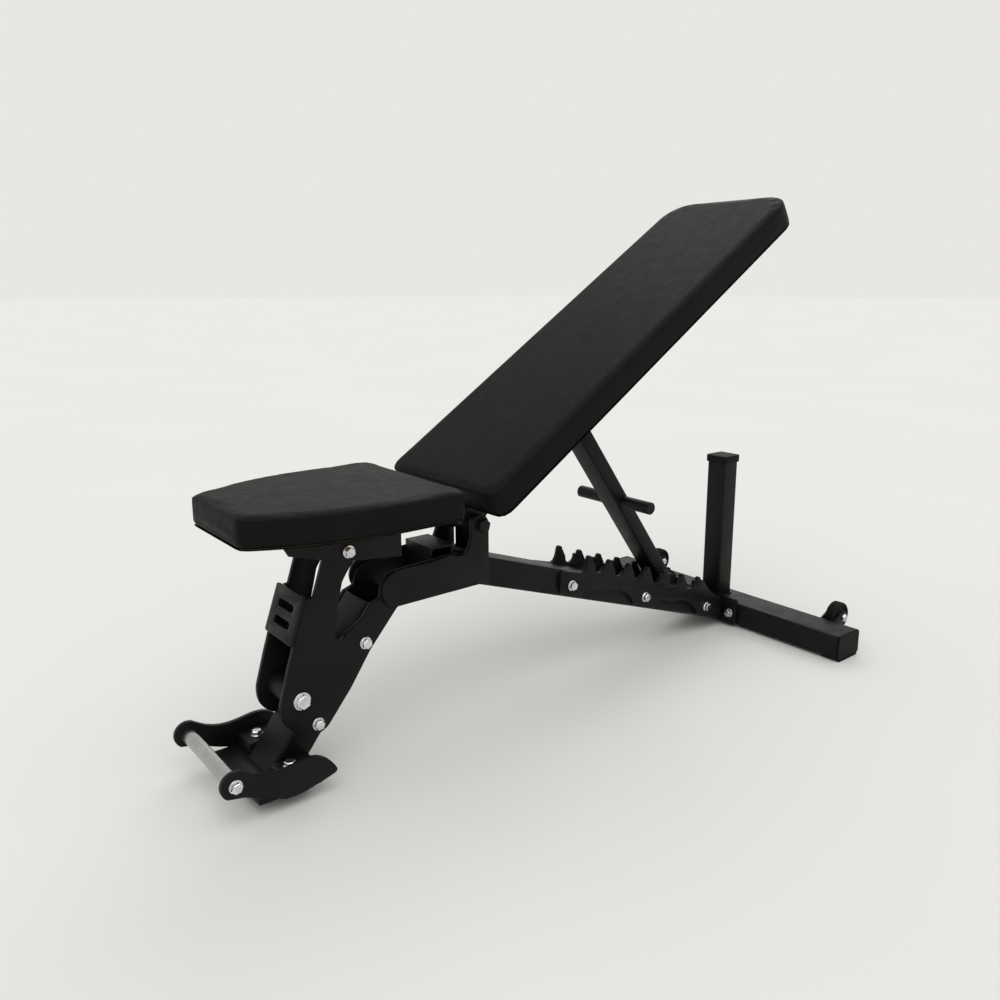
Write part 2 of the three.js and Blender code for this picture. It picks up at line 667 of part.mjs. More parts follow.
// ---- strut: local X runs down the strut from its hinge --------------------------------------
const PIN_X = TOOTH_X + (REST_NOTCH + 0.5) * PITCH;
const PIN_Z = beamTop(PIN_X) + PIN_RISE;
const STRUT_TOP = new THREE.Vector3(
  HINGE.x + STRUT_HINGE * Math.cos(INCLINE), 0, HINGE.z + STRUT_HINGE * Math.sin(INCLINE),
);
const STRUT_LEN = Math.hypot(PIN_X - STRUT_TOP.x, PIN_Z - STRUT_TOP.z);
const STRUT_LEAN = Math.atan2(STRUT_TOP.z - PIN_Z, PIN_X - STRUT_TOP.x);

function strutTube() {
  const from = new THREE.Vector3(-9, 0, 0);
  const to = new THREE.Vector3(STRUT_LEN + 9, 0, 0);
  const bar = tube(from, to, STRUT_W, STRUT_H, 2.5, 4);
  const knuckle = barY(0, 0, SLEEVE_R - 1, -SPINE_W / 2 + 0.5, SPINE_W / 2 - 0.5, 20);
  return cut(
    join(bar, knuckle),
    barY(0, 0, BUSH_R + 0.2, -60, 60, 20),
    barY(PEG_AT, 0, PIN_R + GAP, -60, 60),
    barY(STRUT_LEN, 0, PIN_R + GAP, -60, 60),
  );
}

// ---- seat: local origin on the seat hinge -----------------------------------------------------
function seatOutline(inset) {
  const x0 = inset - SEAT_HINGE.x;
  const x1 = SEAT_LEN - inset - SEAT_HINGE.x;
  const f = SEAT_FRONT_W / 2 - inset;
  const b = SEAT_REAR_W / 2 - inset;
  const r = 16;
  const shape = new THREE.Shape();
  shape.moveTo(x0 + 10, -f + 2);
  shape.bezierCurveTo(x0 + 80, -f - 38, x0 + 140, -b, x0 + 230, -b);
  shape.lineTo(x1 - r, -b);
  shape.absarc(x1 - r, -b + r, r, -Math.PI / 2, 0, false);
  shape.absarc(x1 - r, b - r, r, 0, Math.PI / 2, false);
  shape.lineTo(x0 + 230, b);
  shape.bezierCurveTo(x0 + 140, b, x0 + 80, f + 38, x0 + 10, f - 2);
  shape.quadraticCurveTo(x0, f - 8, x0, f - 20);
  shape.lineTo(x0, -f + 20);
  shape.quadraticCurveTo(x0, -f + 8, x0 + 10, -f + 2);
  return shape;
}

const SEAT_UNDER = SEAT_TOP - SEAT_T - SEAT_HINGE.z;

function seatPad() {
  const pad = slabZ(seatOutline(0), SEAT_UNDER, SEAT_UNDER + SEAT_T);
  const tray = seatOutline(BOARD_INSET - GAP);
  return cut(pad, slabZ(tray, SEAT_UNDER - 5, SEAT_UNDER + BOARD_T + GAP));
}

function seatBoard() {
  return slabZ(seatOutline(BOARD_INSET), SEAT_UNDER, SEAT_UNDER + BOARD_T);
}

// Folded channel under the seat, its flanges outside the leg plates.
function seatBracket() {
  const top = SEAT_UNDER - GAP;
  const flange = new THREE.Shape();
  const at = (x, z) => [x - SEAT_HINGE.x, z - SEAT_HINGE.z];
  flange.moveTo(...at(76, top + SEAT_HINGE.z));
  flange.lineTo(...at(80, 378));
  flange.lineTo(...at(88, 364));
  flange.quadraticCurveTo(...at(150, 345), ...at(192, 337));
  flange.lineTo(...at(277, 328));
  flange.lineTo(...at(277, top + SEAT_HINGE.z));
  const t = 5;
  const inner = OUTER_HALF + 0.4;
  const sides = SIDES.map(([, s]) => sidePlate(flange, s, inner, t, 4));
  const web = block(76 - SEAT_HINGE.x, 277 - SEAT_HINGE.x, -inner - 1, inner + 1, top - t, top);
  return cut(join(...sides, web), boltHole(0, 0, M10));
}

// ---- assembly ---------------------------------------------------------------------------------
const bench = new THREE.Group();
bench.position.x = -(FRONT_X + REAR_X) / 2;
const frame = new THREE.Group();
bench.add(frame);

frame.add(mesh('main_beam', mainBeam(), BLACK_STEEL));
frame.add(mesh('beam_flange', beamFlange(), BLACK_STEEL));
frame.add(mesh('rear_cross_tube', rearCrossTube(), BLACK_STEEL));
frame.add(mesh('rear_post', rearPost(), BLACK_STEEL));
frame.add(mesh('post_cap', postCap(), PLASTIC));
frame.add(mesh('leg_tube', legTube(), BLACK_STEEL));
frame.add(mesh('hub_spacer', hubSpacer(), BLACK_STEEL));
frame.add(mesh('front_cross_plate', frontCrossPlate(), BLACK_STEEL));
frame.add(mesh('lower_cross_bar', lowerBar(), BLACK_STEEL));
frame.add(mesh('foot_base', footBase(), BLACK_STEEL));
frame.add(mesh('handle_tube', handleTube(), SILVER_TUBE));
for (const [name, side] of SIDES) {
  frame.add(mesh(`ladder_plate_${name}`, ladderPlate(side), BLACK_STEEL));
  frame.add(mesh(`flange_bolt_${name}`, flangeBolt(side), ZINC));
  frame.add(mesh(`rear_end_cap_${name}`, rearEndCap(side), PLASTIC));
  frame.add(mesh(`wheel_bracket_${name}`, wheelBracket(side), BLACK_STEEL));
  frame.add(mesh(`wheel_axle_${name}`, wheelAxle(side), ZINC));
  frame.add(mesh(`transport_wheel_${name}`, transportWheel(side), RUBBER));
  frame.add(mesh(`leg_plate_${name}`, legPlate(side), BLACK_STEEL));
  frame.add(mesh(`hub_plate_${name}`, hubPlate(side), BLACK_STEEL));
  frame.add(mesh(`foot_plate_${name}`, footPlate(side), BLACK_STEEL));
  frame.add(mesh(`foot_pad_${name}`, footPad(side), RUBBER));
  frame.add(mesh(`foot_bolt_${name}`, footBolt(side), ZINC));
}

const LADDER_OUT = FRAME_HALF + PLATE;
LADDER_BOLTS.forEach((x, i) => {
  frame.add(mesh(`ladder_bolt_${i + 1}`, throughBolt(x, beamMid(x), M10, LADDER_OUT), ZINC));
});
LEG_BOLTS.forEach((b, i) => {
  frame.add(mesh(`leg_bolt_${i + 1}`, throughBolt(b.x, b.z, M10, LADDER_OUT), ZINC));
});
frame.add(mesh('lower_bar_bolt', throughBolt(LOWER_BAR.x, LOWER_BAR.z, M16, LADDER_OUT), ZINC));
frame.add(mesh('handle_bolt', throughBolt(HANDLE.x, HANDLE.z, M10, FOOT_HALF + PLATE), ZINC));
frame.add(mesh('backrest_hinge_bolt', pivotBolt(HINGE.x, HINGE.z, OUTER_HALF + PLATE), BLACK_STEEL));
const SEAT_BOLT_OUT = OUTER_HALF + 5.7;
frame.add(mesh('seat_hinge_bolt', throughBolt(SEAT_HINGE.x, SEAT_HINGE.z, M10, SEAT_BOLT_OUT), ZINC));

const seat = new THREE.Group();
seat.position.set(SEAT_HINGE.x, 0, SEAT_HINGE.z);
bench.add(seat);
seat.add(mesh('seat_pad', seatPad(), VINYL));
seat.add(mesh('seat_board', seatBoard(), PLYWOOD));
seat.add(mesh('seat_bracket', seatBracket(), BLACK_STEEL));

const backrest = new THREE.Group();
backrest.position.set(HINGE.x, 0, HINGE.z);
backrest.rotation.y = -INCLINE;
bench.add(backrest);
backrest.add(mesh('back_pad', backPad(), VINYL));
backrest.add(mesh('back_board', backBoard(), PLYWOOD));
backrest.add(mesh('back_spine', backSpine(), BLACK_STEEL));
backrest.add(mesh('hinge_sleeve', hingeSleeve(), BLACK_STEEL));
backrest.add(mesh('hinge_bush', hingeBush(OUTER_HALF - 1), NYLON));
backrest.add(mesh('rest_bumper', restBumper(), RUBBER));
for (const [name, side] of SIDES) {
  backrest.add(mesh(`hinge_ear_${name}`, hingeEar(side), BLACK_STEEL));
  backrest.add(mesh(`strut_ear_${name}`, strutEar(side), BLACK_STEEL));
}
backrest.add(mesh('strut_hinge_bolt', pivotBolt(STRUT_HINGE, 0, EAR_IN + EAR_T), ZINC));

const strut = new THREE.Group();
strut.position.set(STRUT_HINGE, 0, 0);
strut.rotation.y = STRUT_LEAN + INCLINE;
backrest.add(strut);
strut.add(mesh('strut_tube', strutTube(), BLACK_STEEL));
strut.add(mesh('strut_bush', hingeBush(SPINE_W / 2 - 0.5), NYLON));
strut.add(mesh('peg_bar', barY(PEG_AT, 0, PIN_R, -PEG_HALF, PEG_HALF), BLACK_STEEL));
const PIN_HALF = FRAME_HALF - GAP - 0.5;
strut.add(mesh('ladder_pin', barY(STRUT_LEN, 0, PIN_R, -PIN_HALF, PIN_HALF), BLACK_STEEL));

export default bench;
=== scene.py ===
"""The looks of the adjustable weight bench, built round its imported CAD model.

Steel gets rounded edges, weld beads and a powder coat; the two pads are cloth-simulated vinyl.
Helper at() turns design millimetres, measured from the leg's foot, into the row frame in metres.
"""
import json
import math

import bmesh
import bpy
from mathutils import Matrix, Vector
from mathutils.bvhtree import BVHTree


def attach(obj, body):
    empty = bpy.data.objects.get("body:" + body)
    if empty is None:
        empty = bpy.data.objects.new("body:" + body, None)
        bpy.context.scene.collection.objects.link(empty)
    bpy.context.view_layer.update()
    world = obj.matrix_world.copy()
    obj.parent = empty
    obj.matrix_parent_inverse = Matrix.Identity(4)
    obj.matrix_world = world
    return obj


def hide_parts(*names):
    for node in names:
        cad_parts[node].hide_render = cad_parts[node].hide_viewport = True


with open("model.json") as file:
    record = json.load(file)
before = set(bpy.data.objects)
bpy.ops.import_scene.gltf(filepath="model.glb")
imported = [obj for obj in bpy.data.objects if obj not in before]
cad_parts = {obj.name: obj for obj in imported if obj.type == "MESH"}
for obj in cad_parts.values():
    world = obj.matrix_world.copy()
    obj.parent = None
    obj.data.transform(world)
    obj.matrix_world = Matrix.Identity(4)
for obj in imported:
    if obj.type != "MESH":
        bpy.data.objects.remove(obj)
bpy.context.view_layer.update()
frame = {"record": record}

MIDDLE_X = 608.5  # the design's own X of the row frame's origin
SIDES = (("left", -1), ("right", 1))


def at(x, y, z):
    """A point given in design millimetres."""
    return Vector(((x - MIDDLE_X) / 1000, y / 1000, z / 1000))


# ---- design sizes, as in the CAD model, in millimetres -----------------------------------------
TUBE_W, TUBE_H, WALL = 76, 50, 3
PLATE, GAP = 8, 0.3
FRAME_HALF = TUBE_W / 2 + GAP
OUTER_HALF = FRAME_HALF + PLATE + GAP
BEAM_START_X, BEAM_END_X, BEAM_END_TOP, BEAM_FALL = 386, 1118, 61.3, 0.342
BEAM_DROP = TUBE_H * math.hypot(1, BEAM_FALL)
REAR_TUBE_X, REAR_TUBE_Z, REAR_TUBE_LEN = 1126.3, 4, 640
POST_W, POST_TOP = 47, 372
WHEEL_X, WHEEL_Y, WHEEL_Z, WHEEL_R, WHEEL_W = 1238, 252, 53, 30, 22
LEG_SLOPE, LEG_H, LEG_FACE_X, LEG_FOOT_Z, LEG_TOP_Z = math.radians(52), 48, 54.7, 45.3, 258
FOOT_HALF, BASE_X0, BASE_X1, BASE_Z0, BASE_Z1 = 88.7, 5, 105, 17, 25
BOSS_X0, BOSS_TOP, FOOT_BOLT_X, FOOT_BOLT_Y = 45, 45, 67, 60
HANDLE_X, HANDLE_Z, HANDLE_R = -30, 66, 11
LOWER_BAR_X, LOWER_BAR_Z, LOWER_BAR_R = 98, 134.4, 19
HINGE_X, HINGE_Z, INCLINE = 433, 352, math.radians(33.4)
PAD_TOP, PAD_START, BACK_LEN, BACK_W, BACK_T = 92, -5, 899, 304, 49
SPINE_W, SPINE_H, SPINE_START, SPINE_END = 50, 25, 18, 640
STRUT_HINGE, PEG_AT, PEG_HALF, PIN_R = 288, 226.5, 97, 12
TOOTH_X, PITCH, TEETH, TOOTH_RISE, NOTCH_RISE, NOTCH_R = 697, 55, 7, 38, 8, 12.5
SEAT_TOP, SEAT_LEN, SEAT_T, SEAT_FRONT_W, SEAT_REAR_W = 443, 338, 46, 194, 302
SEAT_HINGE_X, SEAT_HINGE_Z = 183.2, 353.6
BOARD_T = 15
SPINE_TOP = PAD_TOP - BACK_T - GAP
SPINE_MID = SPINE_TOP - SPINE_H / 2
PIN_X = TOOTH_X + 4.5 * PITCH


def beam_top(x):
    return BEAM_END_TOP + BEAM_FALL * (BEAM_END_X - x)


def beam_mid(x):
    return beam_top(x) - BEAM_DROP / 2


def leg_face_x(z):
    return LEG_FACE_X + (z - LEG_FOOT_Z) / math.tan(LEG_SLOPE)


PIN_Z = beam_top(PIN_X) + NOTCH_RISE + NOTCH_R
STRUT_TOP_X = HINGE_X + STRUT_HINGE * math.cos(INCLINE)
STRUT_TOP_Z = HINGE_Z + STRUT_HINGE * math.sin(INCLINE)
STRUT_LEN = math.hypot(PIN_X - STRUT_TOP_X, PIN_Z - STRUT_TOP_Z)
STRUT_LEAN = math.atan2(STRUT_TOP_Z - PIN_Z, PIN_X - STRUT_TOP_X)


def placed(x, z, turn):
    """Places a local frame at a design point, turned nose-up by an angle about Y."""
    return Matrix.Translation(at(x, 0, z)) @ Matrix.Rotation(-turn, 4, "Y")


ON_FRAME = Matrix.Translation(at(0, 0, 0))
ON_BACKREST = placed(HINGE_X, HINGE_Z, INCLINE)
ON_STRUT = placed(STRUT_TOP_X, STRUT_TOP_Z, -STRUT_LEAN)
ON_SEAT = placed(SEAT_HINGE_X, SEAT_HINGE_Z, 0)


# ---- materials ---------------------------------------------------------------------------------
class Paint:
    """A Principled material with short calls for the texture nodes it is made of."""

    def __init__(self, name, metallic=0.0, **constants):
        self.material = bpy.data.materials.new(name)
        self.material.use_nodes = True
        self.tree = self.material.node_tree
        self.shader = self.tree.nodes["Principled BSDF"]
        self.shader.inputs["Metallic"].default_value = metallic
        for socket, value in constants.items():
            self.shader.inputs[socket.replace("_", " ")].default_value = value
        self.where = self.node("ShaderNodeTexCoord").outputs["Object"]

    def node(self, kind, **inputs):
        made = self.tree.nodes.new(kind)
        for socket, value in inputs.items():
            self.set(made.inputs[socket.replace("_", " ")], value)
        return made

    def set(self, socket, value):
        if isinstance(value, bpy.types.NodeSocket):
            self.tree.links.new(value, socket)
        else:
            socket.default_value = value

    def stretched(self, x, y, z):
        """Object coordinates scaled along each axis, so that a pattern can run in lines."""
        mapping = self.node("ShaderNodeMapping", Vector=self.where)
        mapping.inputs["Scale"].default_value = (x, y, z)
        return mapping.outputs["Vector"]

    def noise(self, scale, detail=2.0, roughness=0.5, vector=None):
        made = self.node("ShaderNodeTexNoise", Vector=vector or self.where, Scale=scale,
                         Detail=detail, Roughness=roughness)
        return made.outputs["Fac"]

    def cells(self, scale):
        made = self.node("ShaderNodeTexVoronoi", Vector=self.where, Scale=scale)
        return made.outputs["Distance"]

    def between(self, factor, low, high, start=0.3, end=0.7):
        """A number or a colour that follows a pattern from low to high."""
        ranged = self.node("ShaderNodeMapRange", Value=factor)
        ranged.inputs["From Min"].default_value = start
        ranged.inputs["From Max"].default_value = end
        if isinstance(low, tuple):
            mix = self.node("ShaderNodeMix")
            mix.data_type = "RGBA"
            self.set(mix.inputs["Factor"], ranged.outputs["Result"])
            self.set(mix.inputs[6], (*low, 1))
            self.set(mix.inputs[7], (*high, 1))
            return mix.outputs[2]
        ranged.inputs["To Min"].default_value = low
        ranged.inputs["To Max"].default_value = high
        return ranged.outputs["Result"]

    def add(self, a, b, share=0.5):
        """Two patterns laid over each other."""
        mix = self.node("ShaderNodeMix")
        self.set(mix.inputs["Factor"], share)
        self.set(mix.inputs[2], a)
        self.set(mix.inputs[3], b)
        return mix.outputs[0]

    def finish(self, color, roughness, height=None, strength=0.3, depth=0.0003):
        self.set(self.shader.inputs["Base Color"], color)
        self.set(self.shader.inputs["Roughness"], roughness)
        if height is not None:
            bump = self.node("ShaderNodeBump", Height=height, Strength=strength, Distance=depth)
            self.set(self.shader.inputs["Normal"], bump.outputs["Normal"])
        return self.material


def powder_coat():
    """Satin black powder coat: fine orange peel, and slightly uneven gloss."""
    paint = Paint("powder_coat", Specular_IOR_Level=0.14)
    patches = paint.noise(9, 4)
    peel = paint.add(paint.noise(520, 2), paint.noise(1500, 1), 0.35)
    color = paint.between(patches, (0.0042, 0.0044, 0.0050), (0.0068, 0.0070, 0.0078))
    gloss = paint.between(paint.noise(34, 5), 0.36, 0.5)
    return paint.finish(color, gloss, peel, 0.35, 0.00025)


def vinyl():
    """Matte upholstery vinyl with a fine pebbled grain."""
    paint = Paint("vinyl", Specular_IOR_Level=0.06)
    grain = paint.add(paint.cells(620), paint.noise(1300, 2), 0.35)
    color = paint.between(paint.noise(14, 5), (0.0052, 0.0053, 0.0055), (0.0070, 0.0071, 0.0073))
    gloss = paint.between(paint.noise(60, 4), 0.46, 0.54)
    return paint.finish(color, gloss, grain, 0.4, 0.0003)


def thread():
    paint = Paint("thread", Specular_IOR_Level=0.3)
    twist = paint.noise(2600, 2)
    color = paint.between(twist, (0.012, 0.012, 0.012), (0.028, 0.028, 0.029))
    return paint.finish(color, paint.between(twist, 0.6, 0.75), twist, 0.4, 0.0002)


def zinc():
    """Bright zinc plate with a faint turned grain."""
    paint = Paint("zinc_plate", metallic=1.0)
    fine = paint.noise(700, 3)
    color = paint.between(paint.noise(90, 3), (0.56, 0.57, 0.58), (0.84, 0.85, 0.86))
    return paint.finish(color, paint.between(fine, 0.14, 0.28), fine, 0.12, 0.0001)


def brushed():
    """Brushed steel tube: fine rings round the handle, with light scratches along it."""
    paint = Paint("brushed_steel", metallic=1.0, Anisotropic=0.5)
    rings = paint.noise(1, 3, vector=paint.stretched(60, 1600, 60))
    color = paint.between(paint.noise(30, 4), (0.36, 0.36, 0.35), (0.44, 0.44, 0.43))
    return paint.finish(color, paint.between(rings, 0.18, 0.32), rings, 0.15, 0.0001)


def plywood():
    """Birch plywood: long grain on the face, and stacked plies seen at the edge."""
    paint = Paint("plywood", Specular_IOR_Level=0.3)
    along = paint.noise(1, 5, 0.6, vector=paint.stretched(14, 150, 90))
    color = paint.between(along, (0.30, 0.185, 0.095), (0.47, 0.33, 0.19))
    return paint.finish(color, paint.between(along, 0.6, 0.8), along, 0.3, 0.0004)


def moulded_plastic():
    paint = Paint("moulded_plastic", Specular_IOR_Level=0.08)
    spark = paint.cells(900)
    color = paint.between(paint.noise(25, 3), (0.0045, 0.0046, 0.0049), (0.0065, 0.0066, 0.007))
    return paint.finish(color, paint.between(spark, 0.42, 0.56, 0.1, 0.6), spark, 0.25, 0.0002)


def rubber():
    paint = Paint("rubber", Specular_IOR_Level=0.15)
    dust = paint.noise(45, 6)
    color = paint.between(dust, (0.0045, 0.0045, 0.0047), (0.011, 0.0109, 0.0105), 0.4, 0.75)
    return paint.finish(color, paint.between(dust, 0.68, 0.88), paint.noise(800, 3), 0.3, 0.0003)


def nylon():
    paint = Paint("nylon", Subsurface_Weight=0.15, Specular_IOR_Level=0.5)
    cloud = paint.noise(120, 3)
    color = paint.between(cloud, (0.62, 0.59, 0.50), (0.72, 0.70, 0.62))
    return paint.finish(color, paint.between(cloud, 0.35, 0.5), cloud, 0.1, 0.0001)


POWDER, VINYL, THREAD, ZINC = powder_coat(), vinyl(), thread(), zinc()
BRUSHED, PLYWOOD, PLASTIC = brushed(), plywood(), moulded_plastic()
RUBBER, NYLON = rubber(), nylon()


# ---- making pieces -----------------------------------------------------------------------------
def body_of_node(node):
    """The body that a CAD node belongs to."""
    bodies = frame["record"]["behaviour"]["bodies"]
    return next(body for body, nodes in bodies.items() if node in nodes)


def add_piece(name, mesh, material, node=None, body=None, smooth=40):
    """Puts a mesh in the scene on its body; with node, it stands for that CAD node."""
    piece = bpy.data.objects.new(name, mesh)
    bpy.context.scene.collection.objects.link(piece)
    mesh.materials.clear()
    mesh.materials.append(material)
    shade(mesh, smooth)
    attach(piece, body or body_of_node(node))
    if node:
        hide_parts(node)
    return piece


def shade(mesh, smooth):
    """Smooth shading, with edges sharper than an angle in degrees kept crisp."""
    bm = bmesh.new()
    bm.from_mesh(mesh)
    bmesh.ops.recalc_face_normals(bm, faces=bm.faces)
    limit = math.radians(smooth)
    for face in bm.faces:
        face.smooth = True
    for edge in bm.edges:
        edge.smooth = len(edge.link_faces) == 2 and edge.calc_face_angle(0) < limit
    bm.to_mesh(mesh)
    bm.free()


def mesh_from(bm, name, place=None):
    """Turns a bmesh into a mesh, placed by a matrix, and frees the bmesh."""
    if place is not None:
        bmesh.ops.transform(bm, matrix=place, verts=bm.verts)
    mesh = bpy.data.meshes.new(name)
    bm.to_mesh(mesh)
    bm.free()
    return mesh


def modified(mesh, *modifiers):
    """A copy of a mesh with modifiers applied: each is (type, {setting: value})."""
    holder = bpy.data.objects.new("holder", mesh)
    bpy.context.scene.collection.objects.link(holder)
    for kind, settings in modifiers:
        modifier = holder.modifiers.new(kind.lower(), kind)
        for setting, value in settings.items():
            setattr(modifier, setting, value)
    evaluated = holder.evaluated_get(bpy.context.evaluated_depsgraph_get())
    result = bpy.data.meshes.new_from_object(evaluated)
    bpy.data.objects.remove(holder)
    return result


# Outlines are lists of points in millimetres. These add an arc or a curve to one.
def arc(cx, cz, r, start, end, steps=None):
    count = steps or max(4, int(abs(end - start) / 0.16))
    angles = [start + (end - start) * i / count for i in range(count + 1)]
    return [(cx + r * math.cos(a), cz + r * math.sin(a)) for a in angles]


def curve(p0, p1, p2, p3=None, steps=10):
    """A quadratic or, with four points, a cubic curve, without its first point."""
    points = []
    for i in range(1, steps + 1):
        t = i / steps
        if p3 is None:
            share = ((1 - t) ** 2, 2 * t * (1 - t), t * t)
            control = (p0, p1, p2)
        else:
            share = ((1 - t) ** 3, 3 * t * (1 - t) ** 2, 3 * t * t * (1 - t), t ** 3)
            control = (p0, p1, p2, p3)
        points.append(tuple(sum(s * c[k] for s, c in zip(share, control)) for k in (0, 1)))
    return points


def rounded(w, h, r, cx=0.0, cz=0.0):
    """A rectangle with rounded corners, centred on (cx, cz)."""
    quarter = math.pi / 2
    points = []
    for i, (sx, sz) in enumerate(((1, 1), (-1, 1), (-1, -1), (1, -1))):
        corner = (cx + sx * (w / 2 - r), cz + sz * (h / 2 - r))
        points += arc(*corner, r, i * quarter, (i + 1) * quarter, 5)
    return points


def circle(cx, cz, r, steps=24):
    return arc(cx, cz, r, 0, 2 * math.pi * (steps - 1) / steps, steps - 1)


def plate_mesh(name, outline, thickness, holes=(), edge=0.8):
    """A flat plate with rounded edges in local X and Y, centred on local Z, in millimetres."""
    flat = bpy.data.curves.new(name, "CURVE")
    flat.dimensions = "2D"
    flat.fill_mode = "BOTH"
    flat.extrude = thickness / 2 - edge
    flat.bevel_depth = edge
    flat.bevel_resolution = 1
    flat.offset = -edge
    for loop in (outline, *holes):
        spline = flat.splines.new("POLY")
        spline.points.add(len(loop) - 1)
        for point, (x, y) in zip(spline.points, loop):
            point.co = (x, y, 0, 1)
        spline.use_cyclic_u = True
    holder = bpy.data.objects.new(name, flat)
    bpy.context.scene.collection.objects.link(holder)
    evaluated = holder.evaluated_get(bpy.context.evaluated_depsgraph_get())
    mesh = bpy.data.meshes.new_from_object(evaluated)
    bpy.data.objects.remove(holder)
    bm = bmesh.new()
    bm.from_mesh(mesh)
    bmesh.ops.remove_doubles(bm, verts=bm.verts, dist=0.01)
    bm.to_mesh(mesh)
    bm.free()
    return mesh


MM = Matrix.Scale(0.001, 4)
# Local X and Y of a plate become X and Z of the bench.
UPRIGHT = Matrix.Rotation(math.pi / 2, 4, "X")


def side_plate(name, node, outline, inner, thickness, place, holes=()):
    """A plate in the X and Z plane on one side, its inner face at signed distance inner."""
    side = 1 if inner > 0 else -1
    middle = inner + side * thickness / 2
    mesh = plate_mesh(name, outline, thickness, holes)
    mesh.transform(place @ MM @ Matrix.Translation((0, middle, 0)) @ UPRIGHT)
    return add_piece(name, mesh, POWDER, node)


def join_rings(bm, rings, around=False):
    """Faces from each ring of points to the next; around also joins the last to the first."""
    following = rings[1:] + rings[:1] if around else rings[1:]
    for one, two in zip(rings, following):
        for i in range(len(one)):
            j = (i + 1) % len(one)
            bm.faces.new((one[i], one[j], two[j], two[i]))


def swept_tube(start, end, w, h, wall, r, bites=(), sides_y=False):
    """A rounded rectangular tube in millimetres, from start to end, trimmed by planes.

    Each bite is (point, direction): what lies beyond the point in that direction goes."""
    start, end = Vector(start), Vector(end)
    along = (end - start).normalized()
    across = Vector((1, 0, 0)) if sides_y else Vector((0, 1, 0))
    up = along.cross(across)
    bm = bmesh.new()
    rings = []
    for width, height, radius in ((w, h, r), (w - 2 * wall, h - 2 * wall, max(r - wall, 1))):
        section = rounded(width, height, radius)
        for point in (start, end):
            rings.append([bm.verts.new(point + across * a + up * b) for a, b in section])
    outer0, outer1, inner0, inner1 = rings
    count = len(outer0)
    for i in range(count):
        j = (i + 1) % count
        bm.faces.new((outer0[i], outer0[j], outer1[j], outer1[i]))
        bm.faces.new((inner0[j], inner0[i], inner1[i], inner1[j]))
        if not bites:
            bm.faces.new((outer0[j], outer0[i], inner0[i], inner0[j]))
            bm.faces.new((outer1[i], outer1[j], inner1[j], inner1[i]))
    for point, direction in bites:
        geometry = bm.verts[:] + bm.edges[:] + bm.faces[:]
        cut = bmesh.ops.bisect_plane(bm, geom=geometry, plane_co=point, plane_no=direction,
                                     clear_outer=True)
        rim = [e for e in cut["geom_cut"] if isinstance(e, bmesh.types.BMEdge)]
        bmesh.ops.bridge_loops(bm, edges=rim)
    return bm


def tube_piece(name, node, start, end, w, h, wall, r, place, bites=(), sides_y=False):
    bm = swept_tube(start, end, w, h, wall, r, bites, sides_y)
    mesh = mesh_from(bm, name, place @ MM)
    soft_edges = {"width": 0.0007, "segments": 2, "limit_method": "ANGLE",
                  "angle_limit": math.radians(50)}
    return add_piece(name, modified(mesh, ("BEVEL", soft_edges)), POWDER, node)


def lathe(profile, steps=40):
    """Turns a closed outline of (radius, height) points about local Y, in millimetres."""
    bm = bmesh.new()
    rings = []
    for k in range(steps):
        a = 2 * math.pi * k / steps
        rings.append([bm.verts.new((r * math.cos(a), y, r * math.sin(a))) for r, y in profile])
    join_rings(bm, rings, around=True)
    bmesh.ops.remove_doubles(bm, verts=bm.verts, dist=0.001)
    return bm


def sleeve(inner, outer, half, ease, steps=40):
    """A round tube along local Y, from -half to half, with its outer rims eased."""
    return lathe([(inner, -half), (outer - ease, -half), (outer, -half + ease),
                  (outer, half - ease), (outer - ease, half), (inner, half)], steps)


def hexagon(bm, size, y0, y1, chamfer=1.0, turn=0.0):
    """A chamfered hexagon head along local Y from y0 to its outer end y1."""
    rings = []
    step = math.copysign(chamfer, y1 - y0)
    for radius, y in ((size, y0), (size, y1 - step), (size * 0.86, y1)):
        ring = []
        for k in range(6):
            a = turn + math.pi / 3 * k
            ring.append(bm.verts.new((radius * math.cos(a), y, radius * math.sin(a))))
        rings.append(ring)
    join_rings(bm, rings)
    bm.faces.new(rings[-1])
    bm.faces.new(rings[0])


def disc(bm, profile, steps=28):
    """Adds a turned shape to bm."""
    other = lathe(profile, steps)
    spare = bpy.data.meshes.new("spare")
    other.to_mesh(spare)
    other.free()
    bm.from_mesh(spare)
    bpy.data.meshes.remove(spare)


def washer(bm, r, y0, y1):
    """A flat washer with eased rims, from y0 out to y1."""
    e = math.copysign(0.4, y1 - y0)
    disc(bm, [(0.01, y0), (r, y0), (r, y1 - e), (r - 0.4, y1), (0.01, y1)])


def bolt_mesh(name, size, outer, head=7.0, turn=0.3, one_sided=False):
    """Head, washers, nut and thread end of a bolt along local Y, in millimetres."""
    shank, hexa, wash = size
    bm = bmesh.new()
    ends = (-1,) if one_sided else (-1, 1)
    for side in ends:
        washer(bm, wash, side * (outer + GAP), side * (outer + GAP + 2))
        base = side * (outer + GAP + 2)
        hexagon(bm, hexa, base, base + side * head, 1.1, turn * (1 if side < 0 else 2.3))
    if not one_sided:
        tip = outer + GAP + 2 + head + 2.9
        thread_r = shank * 0.8
        profile = [(0.01, outer), (thread_r, outer)]
        profile += [(thread_r, outer + GAP + 2 + head), (thread_r, tip - 1), (thread_r - 1, tip)]
        disc(bm, profile + [(0.01, tip)], 20)
        collar = outer + GAP + 2 + head
        disc(bm, [(thread_r + 0.2, collar - 0.2), (hexa * 0.8, collar - 0.2),
                  (hexa * 0.74, collar + 1.2), (thread_r + 0.2, collar + 1.4)], 24)
    return mesh_from(bm, name)


M10, M16, PIVOT = (5, 8.5, 10), (8, 12, 14), (8, 12, 14)


